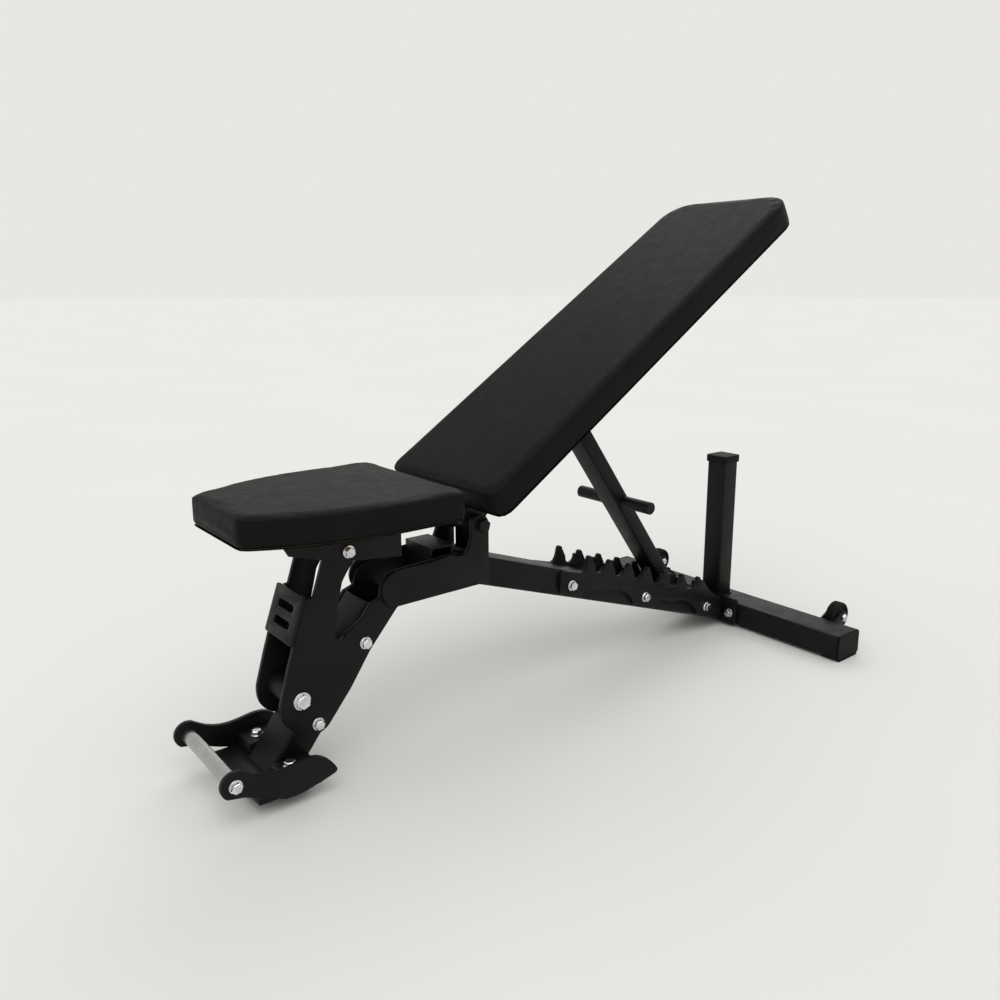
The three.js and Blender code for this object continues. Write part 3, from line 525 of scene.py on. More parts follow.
def through_bolt(node, x, z, size, outer, place=ON_FRAME, head=7.0, material=None, turn=0.3):
    mesh = bolt_mesh("fitted_" + node, size, outer, head, turn)
    mesh.transform(place @ MM @ Matrix.Translation((x, 0, z)))
    return add_piece("fitted_" + node, mesh, material or ZINC, node, smooth=25)


def weld(name, points, body, place=ON_FRAME, r=2.2, closed=False):
    """A weld bead: a line of overlapping ripples laid along a path, in millimetres."""
    points = [Vector(p) for p in points]
    if closed:
        points.append(points[0])
    lengths = [(b - a).length for a, b in zip(points, points[1:])]
    ripples = max(4, int(sum(lengths) / 1.3))
    bm = bmesh.new()
    rings = []
    for i in range(ripples * 2 + 1):
        travel = sum(lengths) * i / (ripples * 2)
        k = 0
        while k < len(lengths) - 1 and travel > lengths[k]:
            travel -= lengths[k]
            k += 1
        direction = (points[k + 1] - points[k]).normalized()
        centre = points[k] + direction * travel
        side = direction.orthogonal().normalized()
        up = direction.cross(side)
        radius = r * (1.0 if i % 2 else 0.86)
        if not closed and i in (0, ripples * 2):
            radius *= 0.4
        ring = [bm.verts.new(centre + radius * (side * math.cos(a) + up * math.sin(a)))
                for a in (math.pi / 4 * n for n in range(8))]
        rings.append(ring)
    align_rings(rings)
    join_rings(bm, rings)
    bm.faces.new(rings[0])
    bm.faces.new(rings[-1])
    return add_piece(name, mesh_from(bm, name, place @ MM), POWDER, body=body, smooth=80)


def align_rings(rings):
    """Turns each ring's numbering to start nearest the one before, so faces don't twist."""
    for i in range(1, len(rings)):
        first = rings[i - 1][0].co - sum((v.co for v in rings[i - 1]), Vector()) / 8
        centre = sum((v.co for v in rings[i]), Vector()) / 8
        start = max(range(8), key=lambda n: (rings[i][n].co - centre).dot(first))
        forward = rings[i][start:] + rings[i][:start]
        backward = [forward[0]] + forward[:0:-1]
        second = rings[i - 1][2].co - sum((v.co for v in rings[i - 1]), Vector()) / 8
        same = (forward[2].co - centre).dot(second) > 0
        rings[i] = forward if same else backward


# ---- frame: beam, ladder and rear stand --------------------------------------------------------
def build_beam():
    start = (BEAM_START_X - 60, 0, beam_mid(BEAM_START_X - 60))
    end = (BEAM_END_X + 60, 0, beam_mid(BEAM_END_X + 60))
    bites = [((BEAM_START_X, 0, 0), (-1, 0, 0)), ((BEAM_END_X - GAP, 0, 0), (1, 0, 0))]
    tube_piece("beam_shell", "main_beam", start, end, TUBE_W, TUBE_H, WALL, 6, ON_FRAME, bites)
    plate = plate_mesh("flange", rounded(160, 60, 8), PLATE - GAP,
                       [circle(s * 62, -4, 5.3) for _, s in SIDES])
    across = Matrix(((0, 0, 1, 0), (1, 0, 0, 0), (0, 1, 0, 0), (0, 0, 0, 1)))
    place = ON_FRAME @ MM @ Matrix.Translation((BEAM_END_X + (PLATE - GAP) / 2, 0, 36)) @ across
    plate.transform(place)
    add_piece("flange_shell", plate, POWDER, "beam_flange")
    bead_x = BEAM_END_X - 1
    half = TUBE_W / 2 - 1
    top, low = beam_top(BEAM_END_X) - 1, 12
    weld("flange_weld", [(bead_x, -half, low), (bead_x, -half, top), (bead_x, half, top),
                         (bead_x, half, low)], "frame")


def ladder_outline():
    front, tip_r = 622, 6
    first = beam_top(TOOTH_X)
    points = [(front, beam_top(front) - 12), (front + 12, beam_top(front + 12) - 1),
              (TOOTH_X - 24, beam_top(TOOTH_X - 24) + 1)]
    points += curve(points[-1], (TOOTH_X - 10, first + 6),
                    (TOOTH_X - tip_r, first + TOOTH_RISE - tip_r), steps=6)
    for i in range(TEETH):
        x = TOOTH_X + i * PITCH
        points += arc(x, beam_top(x) + TOOTH_RISE - tip_r, tip_r, math.pi, 0)
        if i == TEETH - 1:
            break
        notch = x + PITCH / 2
        z = beam_top(notch) + NOTCH_RISE + NOTCH_R
        points.append((notch - NOTCH_R, z + 3))
        points += arc(notch, z, NOTCH_R, math.pi, 2 * math.pi)
        points.append((notch + NOTCH_R, z + 3))
    last = TOOTH_X + (TEETH - 1) * PITCH
    points.append((last + 20, beam_top(last) + TOOTH_RISE - 16))
    points += curve(points[-1], (last + 34, beam_top(last + 34) + 14),
                    (last + 50, beam_top(last + 50) + 6), steps=6)

    def lower(x):
        return beam_top(x) - BEAM_DROP + 4

    points += [(BEAM_END_X - 4, beam_top(BEAM_END_X) - 2), (BEAM_END_X - 4, lower(BEAM_END_X - 4))]
    for begin, end in ((1033, 881), (829, 674)):
        middle = (begin + end) / 2
        waist = beam_mid(middle) + 2
        points.append((begin, lower(begin)))
        points += curve(points[-1], (begin - 14, beam_mid(begin) + 6), (middle + 30, waist),
                        (middle, waist))
        points += curve(points[-1], (middle - 30, waist), (end + 14, beam_mid(end) + 6),
                        (end, lower(end)))
    points += [(front + 8, lower(front + 8)), (front, lower(front) + 10)]
    return points


def build_ladder():
    outline = ladder_outline()
    for name, side in SIDES:
        side_plate(f"ladder_shell_{name}", f"ladder_plate_{name}", outline,
                   side * FRAME_HALF, PLATE, ON_FRAME)
    for i, x in enumerate((650, 855, 1055)):
        through_bolt(f"ladder_bolt_{i + 1}", x, beam_mid(x), M10, FRAME_HALF + PLATE,
                     turn=0.2 + 0.4 * i)
    for name, side in SIDES:
        node = f"flange_bolt_{name}"
        mesh = bolt_mesh("fitted_" + node, M10, 0, turn=0.5 * side, one_sided=True)
        turn = Matrix.Rotation(-math.pi / 2, 4, "Z")
        mesh.transform(ON_FRAME @ MM @ Matrix.Translation((BEAM_END_X, side * 62, 32)) @ turn)
        add_piece("fitted_" + node, mesh, ZINC, node, smooth=25)


def build_rear_stand():
    mid_x, mid_z = REAR_TUBE_X + TUBE_W / 2, REAR_TUBE_Z + TUBE_H / 2
    half = REAR_TUBE_LEN / 2
    tube_piece("rear_tube_shell", "rear_cross_tube", (mid_x, -half, mid_z), (mid_x, half, mid_z),
               TUBE_W, TUBE_H, WALL, 6, ON_FRAME, sides_y=True)
    post_x, foot = REAR_TUBE_X + POST_W / 2, REAR_TUBE_Z + TUBE_H
    tube_piece("post_shell", "rear_post", (post_x, 0, foot + GAP), (post_x, 0, POST_TOP),
               POST_W, POST_W, WALL, 5, ON_FRAME)
    h = POST_W / 2 + 0.4
    corners = [(post_x + a * h, b * h, foot + 1) for a, b in ((-1, -1), (1, -1), (1, 1), (-1, 1))]
    weld("post_weld", corners, "frame", closed=True)
    cap = plate_mesh("cap", rounded(POST_W + 6.4, POST_W + 6.4, 6), 16, edge=2.0)
    cap.transform(ON_FRAME @ MM @ Matrix.Translation((post_x, 0, POST_TOP - 1)))
    add_piece("post_cap_shell", cap, PLASTIC, "post_cap")
    for name, side in SIDES:
        build_end_cap(name, side, mid_x, mid_z, half)
        build_wheel(name, side)


def build_end_cap(name, side, mid_x, mid_z, half):
    """A plug with a domed face, a rim groove and a ribbed foot under the tube's end."""
    bm = bmesh.new()
    sections = ((0.0, 0.3), (0.0, 3.6), (0.9, 4.0), (0.9, 4.6), (0.2, 5.0), (1.2, 6.0), (9.0, 5.7))
    rings = []
    for inset, out in sections:
        outline = rounded(TUBE_W - 2 * inset, TUBE_H - 2 * inset, max(6 - inset, 2), mid_x, mid_z)
        rings.append([bm.verts.new((x, side * (half + out), z)) for x, z in outline])
    join_rings(bm, rings)
    bm.faces.new(rings[0])
    bm.faces.new(rings[-1])
    x0, x1 = REAR_TUBE_X + 6, REAR_TUBE_X + TUBE_W - 6
    for i in range(9):
        rib(bm, x0 + 1.0 + i * (x1 - x0 - 8) / 8, 6.0, side * (half - 34), side * (half + 5.6))
    pad = [(x0, side * (half - 34)), (x1, side * (half - 34)),
           (x1, side * (half + 6)), (x0, side * (half + 6))]
    slab(bm, pad, 0.9, REAR_TUBE_Z - GAP)
    heel = [(x0, side * (half + GAP)), (x1, side * (half + GAP)),
            (x1, side * (half + 6)), (x0, side * (half + 6))]
    slab(bm, heel, 0.9, REAR_TUBE_Z + 8)
    mesh = mesh_from(bm, "end_cap", ON_FRAME @ MM)
    add_piece(f"end_cap_shell_{name}", mesh, PLASTIC, f"rear_end_cap_{name}", smooth=30)


def slab(bm, corners, z0, z1):
    """Adds an upright block over four corners."""
    low = [bm.verts.new((x, y, z0)) for x, y in corners]
    high = [bm.verts.new((x, y, z1)) for x, y in corners]
    for i in range(4):
        j = (i + 1) % 4
        bm.faces.new((low[i], low[j], high[j], high[i]))
    bm.faces.new(low)
    bm.faces.new(high)


def rib(bm, x, width, y0, y1):
    slab(bm, [(x, y0), (x + width * 0.6, y0), (x + width * 0.6, y1), (x, y1)], 0.0, 1.2)


def build_wheel(name, side):
    y = side * WHEEL_Y
    back = REAR_TUBE_X + TUBE_W + GAP
    ear = [(back, 18), (back, 52), (WHEEL_X - 4, WHEEL_Z + 13)]
    ear += arc(WHEEL_X, WHEEL_Z, 13, math.pi / 2, -math.pi / 2) + [(back + 8, 18)]
    reach = WHEEL_W / 2 + 1.5
    bracket = bmesh.new()
    for offset in (reach + 2, -reach - 2):
        mesh = plate_mesh("ear", ear, 4, edge=0.5)
        mesh.transform(Matrix.Translation((0, y + offset, 0)) @ UPRIGHT)
        bracket.from_mesh(mesh)
    web = [(back, y - reach - 3), (back + 2.2, y - reach - 3),
           (back + 2.2, y + reach + 3), (back, y + reach + 3)]
    slab(bracket, web, 18.5, 51.5)
    add_piece(f"bracket_shell_{name}", mesh_from(bracket, "bracket", ON_FRAME @ MM), POWDER,
              f"wheel_bracket_{name}")

    h = WHEEL_W / 2
    half_profile = [(4.4, h), (11, h), (12, h - 0.8), (13, h - 3.4), (15, h - 4), (21, h - 4),
                    (22.6, h - 3.4), (23.4, h - 0.6), (24.4, h), (27.5, h - 0.3),
                    (29.4, h - 2), (WHEEL_R, h - 4.5)]
    for groove in (4.2, 0.6):
        half_profile += [(WHEEL_R, groove + 1), (29.1, groove + 0.7), (29.1, groove)]
    wheel = lathe(half_profile + [(r, -v) for r, v in reversed(half_profile)], 56)
    place = ON_FRAME @ MM @ Matrix.Translation((WHEEL_X, y, WHEEL_Z))
    add_piece(f"tread_{name}", mesh_from(wheel, "wheel", place), RUBBER,
              f"transport_wheel_{name}", smooth=35)

    outer = WHEEL_W / 2 + 5.5 + GAP
    axle = bmesh.new()
    disc(axle, [(0.01, -outer), (8, -outer), (8, -outer - 2), (6.4, -outer - 4.4),
                (3.2, -outer - 5), (3.0, -outer - 3.2), (0.01, -outer - 3.2)])
    hexagon(axle, 7.5, outer, outer + 6, 1.0, 0.4)
    disc(axle, [(0.01, outer), (3.8, outer), (3.8, -outer), (0.01, -outer)], 16)
    add_piece(f"fitted_axle_{name}",
              mesh_from(axle, "axle", ON_FRAME @ MM @ Matrix.Translation((WHEEL_X, y, WHEEL_Z))),
              ZINC, f"wheel_axle_{name}", smooth=25)


# ---- frame: hub, leg and foot ------------------------------------------------------------------
def leg_plate_outline():
    sx, sz = SEAT_HINGE_X, SEAT_HINGE_Z
    points = [(145, 350)]
    points += curve(points[-1], (149, 372), (sx - 12, sz + 20.8))
    points += arc(sx, sz, 24, 2 * math.pi / 3, -math.pi / 8)
    points += curve(points[-1], (188, 330), (174, 306))
    points += [(160, 250), (158, 226)] + arc(168, 224, 10, math.pi, 2 * math.pi - 0.3)
    points += [(leg_face_x(240), 240), (leg_face_x(LEG_TOP_Z), LEG_TOP_Z), (238, 264), (241, 280)]
    points += curve(points[-1], (246, 297), (266, 298), steps=5)
    points += [(BEAM_START_X + 40, 298), (BEAM_START_X + 40, 252), (292, 252)]
    points += curve(points[-1], (276, 250), (266, 239), steps=6)
    points += [(218, 184), (182, 131), (145, 86)]
    points += curve(points[-1], (134, 72), (116, 72), steps=7)
    points += curve(points[-1], (102, 72), (94, 84), steps=7)
    points += curve(points[-1], (59, 98), (65, 138))
    return points + [(80, 190), (90, 222), (113.8, 290), (126, 292)]


def hub_plate_outline():
    ear_x, ear_r = HINGE_X - 3, 18
    points = arc(ear_x, HINGE_Z, ear_r, 0, math.pi) + [(ear_x - ear_r, 332)]
    points += curve(points[-1], (405, 305.5), (391, 305.5))
    points += curve(points[-1], (378, 305.5), (371, 312), steps=6)
    points += curve(points[-1], (352, 308), (326, 306)) + [(267, 305)]
    points += arc(267, 276, 29, math.pi / 2, 1.5 * math.pi)
    return points + [(HINGE_X - 4, 248.5), (ear_x + ear_r, 244)]


def foot_plate_outline():
    points = arc(HANDLE_X, HANDLE_Z, 21, 1.3 * math.pi, 0.36 * math.pi)
    points += curve(points[-1], (-8, 76), (8, 64), (36, 64))
    points += curve(points[-1], (60, 64), (76, 72), (96, 66))
    points += curve(points[-1], (110, 61), (120, 48), (126, 37))
    points += curve(points[-1], (128, 31), (120, 29), steps=6) + [(102, 24)]
    points += curve(points[-1], (88, 21), (76, 18.5), steps=6) + [(60, 16.5), (46, 17)]
    points += curve(points[-1], (36, 19), (28, 25), steps=6)
    points += curve(points[-1], (12, 29), (-4, 38), (-18, 44))
    return points


def build_leg():
    half = LEG_H / 2 / math.sin(LEG_SLOPE)
    start = Vector((leg_face_x(0) + half, 0, 0))
    end = start + 420 * Vector((math.cos(LEG_SLOPE), 0, math.sin(LEG_SLOPE)))
    bites = [((0, 0, BASE_Z1 + GAP), (0, 0, -1)), ((0, 0, LEG_TOP_Z), (0, 0, 1))]
    tube_piece("leg_shell", "leg_tube", start, end, TUBE_W, LEG_H, WALL, 6, ON_FRAME, bites)
    leg, hub, foot = leg_plate_outline(), hub_plate_outline(), foot_plate_outline()
    for name, side in SIDES:
        side_plate(f"leg_side_{name}", f"leg_plate_{name}", leg, side * FRAME_HALF, PLATE, ON_FRAME)
        side_plate(f"hub_side_{name}", f"hub_plate_{name}", hub, side * OUTER_HALF, PLATE, ON_FRAME)
        side_plate(f"foot_side_{name}", f"foot_plate_{name}", foot, side * FOOT_HALF, PLATE,
                   ON_FRAME)
        y = side * (OUTER_HALF + 0.5)
        edge = arc(267, 276, 29.5, 1.25 * math.pi, 0.5 * math.pi, 12) + [(372, 311)]
        weld(f"hub_weld_{name}", [(x, y, z) for x, z in edge], "frame", r=1.8)
    for i, (x, z) in enumerate(((122.2, 89.4), (209, 198.4))):
        through_bolt(f"leg_bolt_{i + 1}", x, z, M10, FRAME_HALF + PLATE, turn=0.1 + 0.5 * i)
    through_bolt("lower_bar_bolt", LOWER_BAR_X, LOWER_BAR_Z, M16, FRAME_HALF + PLATE, turn=0.4)
    through_bolt("handle_bolt", HANDLE_X, HANDLE_Z, M10, FOOT_HALF + PLATE, turn=0.15)
    through_bolt("backrest_hinge_bolt", HINGE_X, HINGE_Z, PIVOT, OUTER_HALF + PLATE, head=8,
                 material=POWDER)
    through_bolt("seat_hinge_bolt", SEAT_HINGE_X, SEAT_HINGE_Z, M10, OUTER_HALF + 5.7, turn=0.6)


def build_spacers():
    half = FRAME_HALF - GAP
    rear, tail = BEAM_START_X - GAP, HINGE_X + 15
    over = {x: beam_top(x) + GAP + 0.3 for x in (rear, tail - 4, tail)}
    outline = [(340, 264), (rear, 264), (rear, over[rear] + 0.4), (tail, over[tail]), (tail, 333),
               (tail - 4, 333), (tail - 4, over[tail - 4] + 4), (rear, over[rear] + 4),
               (rear, 325), (340, 325)]
    hole = rounded(rear - 348, 53, 3, (340 + rear) / 2, 294.5)
    spacer = plate_mesh("spacer", outline, 2 * half, [hole], edge=0.6)
    spacer.transform(ON_FRAME @ MM @ UPRIGHT)
    add_piece("spacer_shell", spacer, POWDER, "hub_spacer")

    slots = [rounded(50, 12, 5.9, 0, v) for v in (-13, 13)]
    plate = plate_mesh("cross_plate", rounded(92, 76, 4), 5, slots)
    slope = math.atan2(72, 25)
    up = Vector((math.cos(slope), 0, math.sin(slope)))
    out = Vector((-math.sin(slope), 0, math.cos(slope)))
    turn = Matrix((Vector((0, -1, 0)), up, out)).transposed().to_4x4()
    centre = Vector((102.5, 0, 258)) + out * (2.5 + GAP)
    plate.transform(ON_FRAME @ MM @ Matrix.Translation(centre) @ turn)
    add_piece("cross_plate_shell", plate, POWDER, "front_cross_plate")

    bar = sleeve(10, LOWER_BAR_R, half, 0.8, 48)
    place = ON_FRAME @ MM @ Matrix.Translation((LOWER_BAR_X, 0, LOWER_BAR_Z))
    add_piece("lower_bar_shell", mesh_from(bar, "bar", place), POWDER, "lower_cross_bar")


def build_foot():
    half = FOOT_HALF - GAP
    holes = [circle(FOOT_BOLT_X, side * FOOT_BOLT_Y, 5.2) for _, side in SIDES]
    base = bmesh.new()
    outline = rounded(BASE_X1 - BASE_X0, 2 * half, 3, (BASE_X0 + BASE_X1) / 2, 0)
    plate = plate_mesh("plate", outline, BASE_Z1 - BASE_Z0, holes)
    plate.transform(Matrix.Translation((0, 0, (BASE_Z0 + BASE_Z1) / 2)))
    base.from_mesh(plate)
    inner = FRAME_HALF + GAP
    for (name, side), hole in zip(SIDES, holes):
        outline = rounded(BASE_X1 - BOSS_X0, half - inner, 2.5, (BOSS_X0 + BASE_X1) / 2,
                          side * (half + inner) / 2)
        boss = plate_mesh("boss", outline, BOSS_TOP - BASE_Z0 - 1, [hole], edge=1.6)
        boss.transform(Matrix.Translation((0, 0, (BOSS_TOP + BASE_Z0 + 1) / 2)))
        base.from_mesh(boss)
        corners = [(18, 37), (18, 54), (21, 57), (44, 57), (52, 68.5), (91, 68.5), (95, 64),
                   (95, 37)]
        height = BASE_Z0 - GAP
        pad = plate_mesh("pad", [(x, side * y) for x, y in corners], height, [hole], edge=1.5)
        pad.transform(ON_FRAME @ MM @ Matrix.Translation((0, 0, height / 2)))
        add_piece(f"pad_shell_{name}", pad, RUBBER, f"foot_pad_{name}")
        bolt = bolt_mesh("fitted_foot_bolt", M10, 0, 6, turn=0.3 * side, one_sided=True)
        stand = Matrix.Rotation(-math.pi / 2, 4, "X")
        spot = Matrix.Translation((FOOT_BOLT_X, side * FOOT_BOLT_Y, BOSS_TOP))
        bolt.transform(ON_FRAME @ MM @ spot @ stand)
        add_piece(f"fitted_foot_bolt_{name}", bolt, ZINC, f"foot_bolt_{name}", smooth=25)
    add_piece("foot_base_shell", mesh_from(base, "base", ON_FRAME @ MM), POWDER, "foot_base")
    handle = sleeve(6, HANDLE_R, half, 0.6, 48)
    place = ON_FRAME @ MM @ Matrix.Translation((HANDLE_X, 0, HANDLE_Z))
    add_piece("handle_shell", mesh_from(handle, "handle", place), BRUSHED, "handle_tube")
    x0 = leg_face_x(BASE_Z1)
    edge = [(x0 - 0.5, y, BASE_Z1 + 0.6) for y in (-36, 36)]
    weld("foot_weld", edge, "frame", r=1.8)


# ---- backrest and strut: local X runs up the pad or down the strut -----------------------------
def build_backrest_steel():
    tube_piece("spine_shell", "back_spine", (SPINE_START, 0, SPINE_MID), (SPINE_END, 0, SPINE_MID),
               SPINE_W, SPINE_H, 2.5, 4, ON_BACKREST)
    ear_in = SPINE_W / 2 + GAP
    low, high = SPINE_TOP - SPINE_H, SPINE_TOP - 3
    hinge = arc(0, 0, 21, math.pi, 1.75 * math.pi)
    hinge += [(96, low + 2), (100, high), (SPINE_START, high), (-21, 12)]
    strut = arc(STRUT_HINGE, 0, 17, math.pi, 2 * math.pi)
    strut += [(STRUT_HINGE + 40, low + 4), (STRUT_HINGE + 40, high),
              (STRUT_HINGE - 40, high), (STRUT_HINGE - 40, low + 4)]
    for name, side in SIDES:
        side_plate(f"hinge_ear_shell_{name}", f"hinge_ear_{name}", hinge, side * ear_in, 6,
                   ON_BACKREST, [circle(0, 0, 16.3)])
        side_plate(f"strut_ear_shell_{name}", f"strut_ear_{name}", strut, side * ear_in, 6,
                   ON_BACKREST, [circle(STRUT_HINGE, 0, 8.3)])
        y = side * (ear_in + 1)
        weld(f"ear_weld_{name}", [(30, y, high), (96, y, high)], "backrest", ON_BACKREST, 1.8)
        weld(f"strut_ear_weld_{name}", [(STRUT_HINGE - 36, y, high), (STRUT_HINGE + 36, y, high)],
             "backrest", ON_BACKREST, 1.8)
        ring = [(x, side * (ear_in + 6), z) for x, z in circle(0, 0, 16.6, 20)]
        weld(f"sleeve_weld_{name}", ring, "backrest", ON_BACKREST, 1.6, closed=True)
    reach = OUTER_HALF - 1.5
    add_piece("sleeve_shell", mesh_from(sleeve(12.2, 16, reach, 0.7, 44), "sleeve",
                                        ON_BACKREST @ MM), POWDER, "hinge_sleeve")
    through_bolt("strut_hinge_bolt", STRUT_HINGE, 0, PIVOT, ear_in + 6, ON_BACKREST, 8)
    bumper = plate_mesh("bumper", rounded(52, 52, 8), 13, edge=2.0)
    bumper_x = REAR_TUBE_X + POST_W / 2 - HINGE_X
    lift = PAD_TOP - BACK_T - GAP - 6.5
    bumper.transform(ON_BACKREST @ MM @ Matrix.Translation((bumper_x, 0, lift)))
    add_piece("bumper_shell", bumper, RUBBER, "rest_bumper")


def bush(name, node, half, place):
    """A nylon bush that floats between a bolt and the sleeve round it."""
    add_piece(name, mesh_from(sleeve(8.25, 12, half, 0.6), "bush", place @ MM), NYLON, node)


def build_strut():
    bars = swept_tube((-9, 0, 0), (STRUT_LEN + 9, 0, 0), 50, 30, 2.5, 4)
    bars.from_mesh(mesh_from(sleeve(12.2, 15, 24.5, 0.6), "knuckle"))
    mesh = mesh_from(bars, "strut", ON_STRUT @ MM)
    soft_edges = {"width": 0.0006, "segments": 2, "limit_method": "ANGLE",
                  "angle_limit": math.radians(50)}
    add_piece("strut_shell", modified(mesh, ("BEVEL", soft_edges)), POWDER, "strut_tube")
    for node, x, half in (("peg_bar", PEG_AT, PEG_HALF), ("ladder_pin", STRUT_LEN, 37.5)):
        rod = lathe([(0.01, -half), (PIN_R - 1.2, -half), (PIN_R, -half + 1.2),
                     (PIN_R, half - 1.2), (PIN_R - 1.2, half), (0.01, half)], 36)
        place = ON_STRUT @ MM @ Matrix.Translation((x, 0, 0))
        add_piece(f"{node}_shell", mesh_from(rod, node, place), POWDER, node, smooth=30)
        for name, side in SIDES:
            ring = [(x + a, side * 25.3, b) for a, b in circle(0, 0, PIN_R + 0.6, 16)]
            weld(f"{node}_weld_{name}", ring, "strut", ON_STRUT, 1.5, closed=True)
    bush("hinge_bush_shell", "hinge_bush", OUTER_HALF - 1, ON_BACKREST)
    bush("strut_bush_shell", "strut_bush", SPINE_W / 2 - 0.5, ON_STRUT)


# ---- seat bracket ------------------------------------------------------------------------------
def build_seat_bracket():
    top = SEAT_TOP - SEAT_T - GAP
    thick, inner = 5, OUTER_HALF + 0.4
    flange = [(76, top), (80, 378), (88, 364)]
    flange += curve(flange[-1], (150, 345), (192, 337)) + [(277, 328), (277, top)]
    bm = bmesh.new()
    for _, side in SIDES:
        mesh = plate_mesh("flange", flange, thick, [circle(SEAT_HINGE_X, SEAT_HINGE_Z, 5.3)])
        mesh.transform(Matrix.Translation((0, side * (inner + thick / 2), 0)) @ UPRIGHT)
        bm.from_mesh(mesh)
    web = [(76.4, -inner - 1), (276.6, -inner - 1), (276.6, inner + 1), (76.4, inner + 1)]
    slab(bm, web, top - thick, top)
    add_piece("seat_bracket_shell", mesh_from(bm, "bracket", ON_FRAME @ MM), POWDER,
              "seat_bracket")


# ---- pads --------------------------------------------------------------------------------------
def back_outline():
    """The backrest pad's outline in its own X and Y, with large corners at the top."""
    x0, x1, h = PAD_START, PAD_START + BACK_LEN, BACK_W / 2
    r0, r1 = 22, 55
    quarter = math.pi / 2
    points = arc(x1 - r1, h - r1, r1, quarter, 0, 8)
    points += arc(x1 - r1, -h + r1, r1, 0, -quarter, 8)
    points += arc(x0 + r0, -h + r0, r0, -quarter, -2 * quarter, 6)
    return points + arc(x0 + r0, h - r0, r0, 2 * quarter, quarter, 6)


def seat_outline():
    """The seat pad's outline: a narrow nose that flares to a straight rear."""
    x0, x1 = -SEAT_HINGE_X, SEAT_LEN - SEAT_HINGE_X
    f, b, r = SEAT_FRONT_W / 2, SEAT_REAR_W / 2, 16
    right = curve((x0 + 10, -f + 2), (x0 + 80, -f - 38), (x0 + 140, -b), (x0 + 230, -b), 14)
    right = [(x0 + 10, -f + 2)] + right + arc(x1 - r, -b + r, r, -math.pi / 2, 0, 5)
    left = [(x, -y) for x, y in reversed(right)]
    nose = curve(left[-1], (x0, f - 8), (x0, f - 20), steps=5)
    nose += curve((x0, -f + 20), (x0, -f + 8), (x0 + 10, -f + 2), steps=5)[:-1]
    return right + left + nose[:5] + [(x0, -f + 20)] + nose[5:]


def resampled(outline, step):
    """The same closed outline with points at an even spacing."""
    loop = [Vector(p) for p in outline]
    loop.append(loop[0])
    lengths = [(b - a).length for a, b in zip(loop, loop[1:])]
    count = int(sum(lengths) / step)
    points, k, passed = [], 0, 0.0
    for i in range(count):
        target = sum(lengths) * i / count
        while target > passed + lengths[k]:
            passed += lengths[k]
            k += 1
        share = (target - passed) / lengths[k] if lengths[k] else 0
        points.append(loop[k].lerp(loop[k + 1], share))
    return points


def offset(points, inset):
    """Moves an outline inwards by an even distance."""
    moved = []
    for i, p in enumerate(points):
        ahead, behind = points[(i + 1) % len(points)], points[i - 1]
        along = (ahead - behind).normalized()
        inward = Vector((-along.y, along.x))
        moved.append(p + inward * inset)
    area = sum(a.x * b.y - b.x * a.y for a, b in zip(points, points[1:] + points[:1]))
    if area < 0:
        moved = [2 * p - m for p, m in zip(points, moved)]
    return moved


def pad_block(outline, z0, z1, shrink):
    """A closed block with a rounded upper edge, a little smaller than the finished pad."""
    loop = resampled(outline, 9)
    top = z1 - shrink
    levels = ((6, z0 + 0.7), (3, z0 + 2.4), (1.2, z0 + 5), (0.6, z0 + 9), (shrink, z0 + BOARD_T),
              (shrink, top - 6), (shrink + 0.7, top - 3), (shrink + 2.4, top - 1),
              (shrink + 6, top - 0.2), (shrink + 14, top))
    bm = bmesh.new()
    rings = [[bm.verts.new((*p, z)) for p in offset(loop, inset)] for inset, z in levels]
    join_rings(bm, rings)
    bm.faces.new(rings[0])
    bm.faces.new(rings[-1])
    bmesh.ops.recalc_face_normals(bm, faces=bm.faces)
    return mesh_from(bm, "pad_block", MM)


def swell(mesh, rise, fall, board_top):
    """Inflates a pad with Cloth; it moves out by at most rise, and in by at most fall."""
    base = modified(mesh, ("REMESH", {"mode": "VOXEL", "voxel_size": 0.0045}))
    pad = bpy.data.objects.new("pad_cloth", base)
    bpy.context.scene.collection.objects.link(pad)
    pins = pad.vertex_groups.new(name="glued")
    rest = [(v.co.copy(), v.normal.copy()) for v in base.vertices]
    for i, (co, _) in enumerate(rest):
        grip = min(1.0, max(0.0, (board_top - co.z) / 0.012 + 0.25))
        if grip > 0:
            pins.add([i], grip, "REPLACE")
    cloth = pad.modifiers.new("cloth", "CLOTH")
    cloth.settings.use_pressure = True
    cloth.settings.uniform_pressure_force = 4
    cloth.settings.effector_weights.gravity = 0
    cloth.settings.vertex_group_mass = "glued"
    cloth.settings.tension_stiffness = 18
    cloth.settings.compression_stiffness = 18
    cloth.settings.bending_stiffness = 1.5
    cloth.settings.quality = 5
    scene = bpy.context.scene
    for step in range(1, 17):
        scene.frame_set(step)
    evaluated = pad.evaluated_get(bpy.context.evaluated_depsgraph_get())
    result = bpy.data.meshes.new_from_object(evaluated)
    for vertex, (home, normal) in zip(result.vertices, rest):
        outward = min(max((vertex.co - home).dot(normal), -fall), rise)
        vertex.co = home + normal * outward
    bpy.data.objects.remove(pad)
    scene.frame_set(1)
    return result


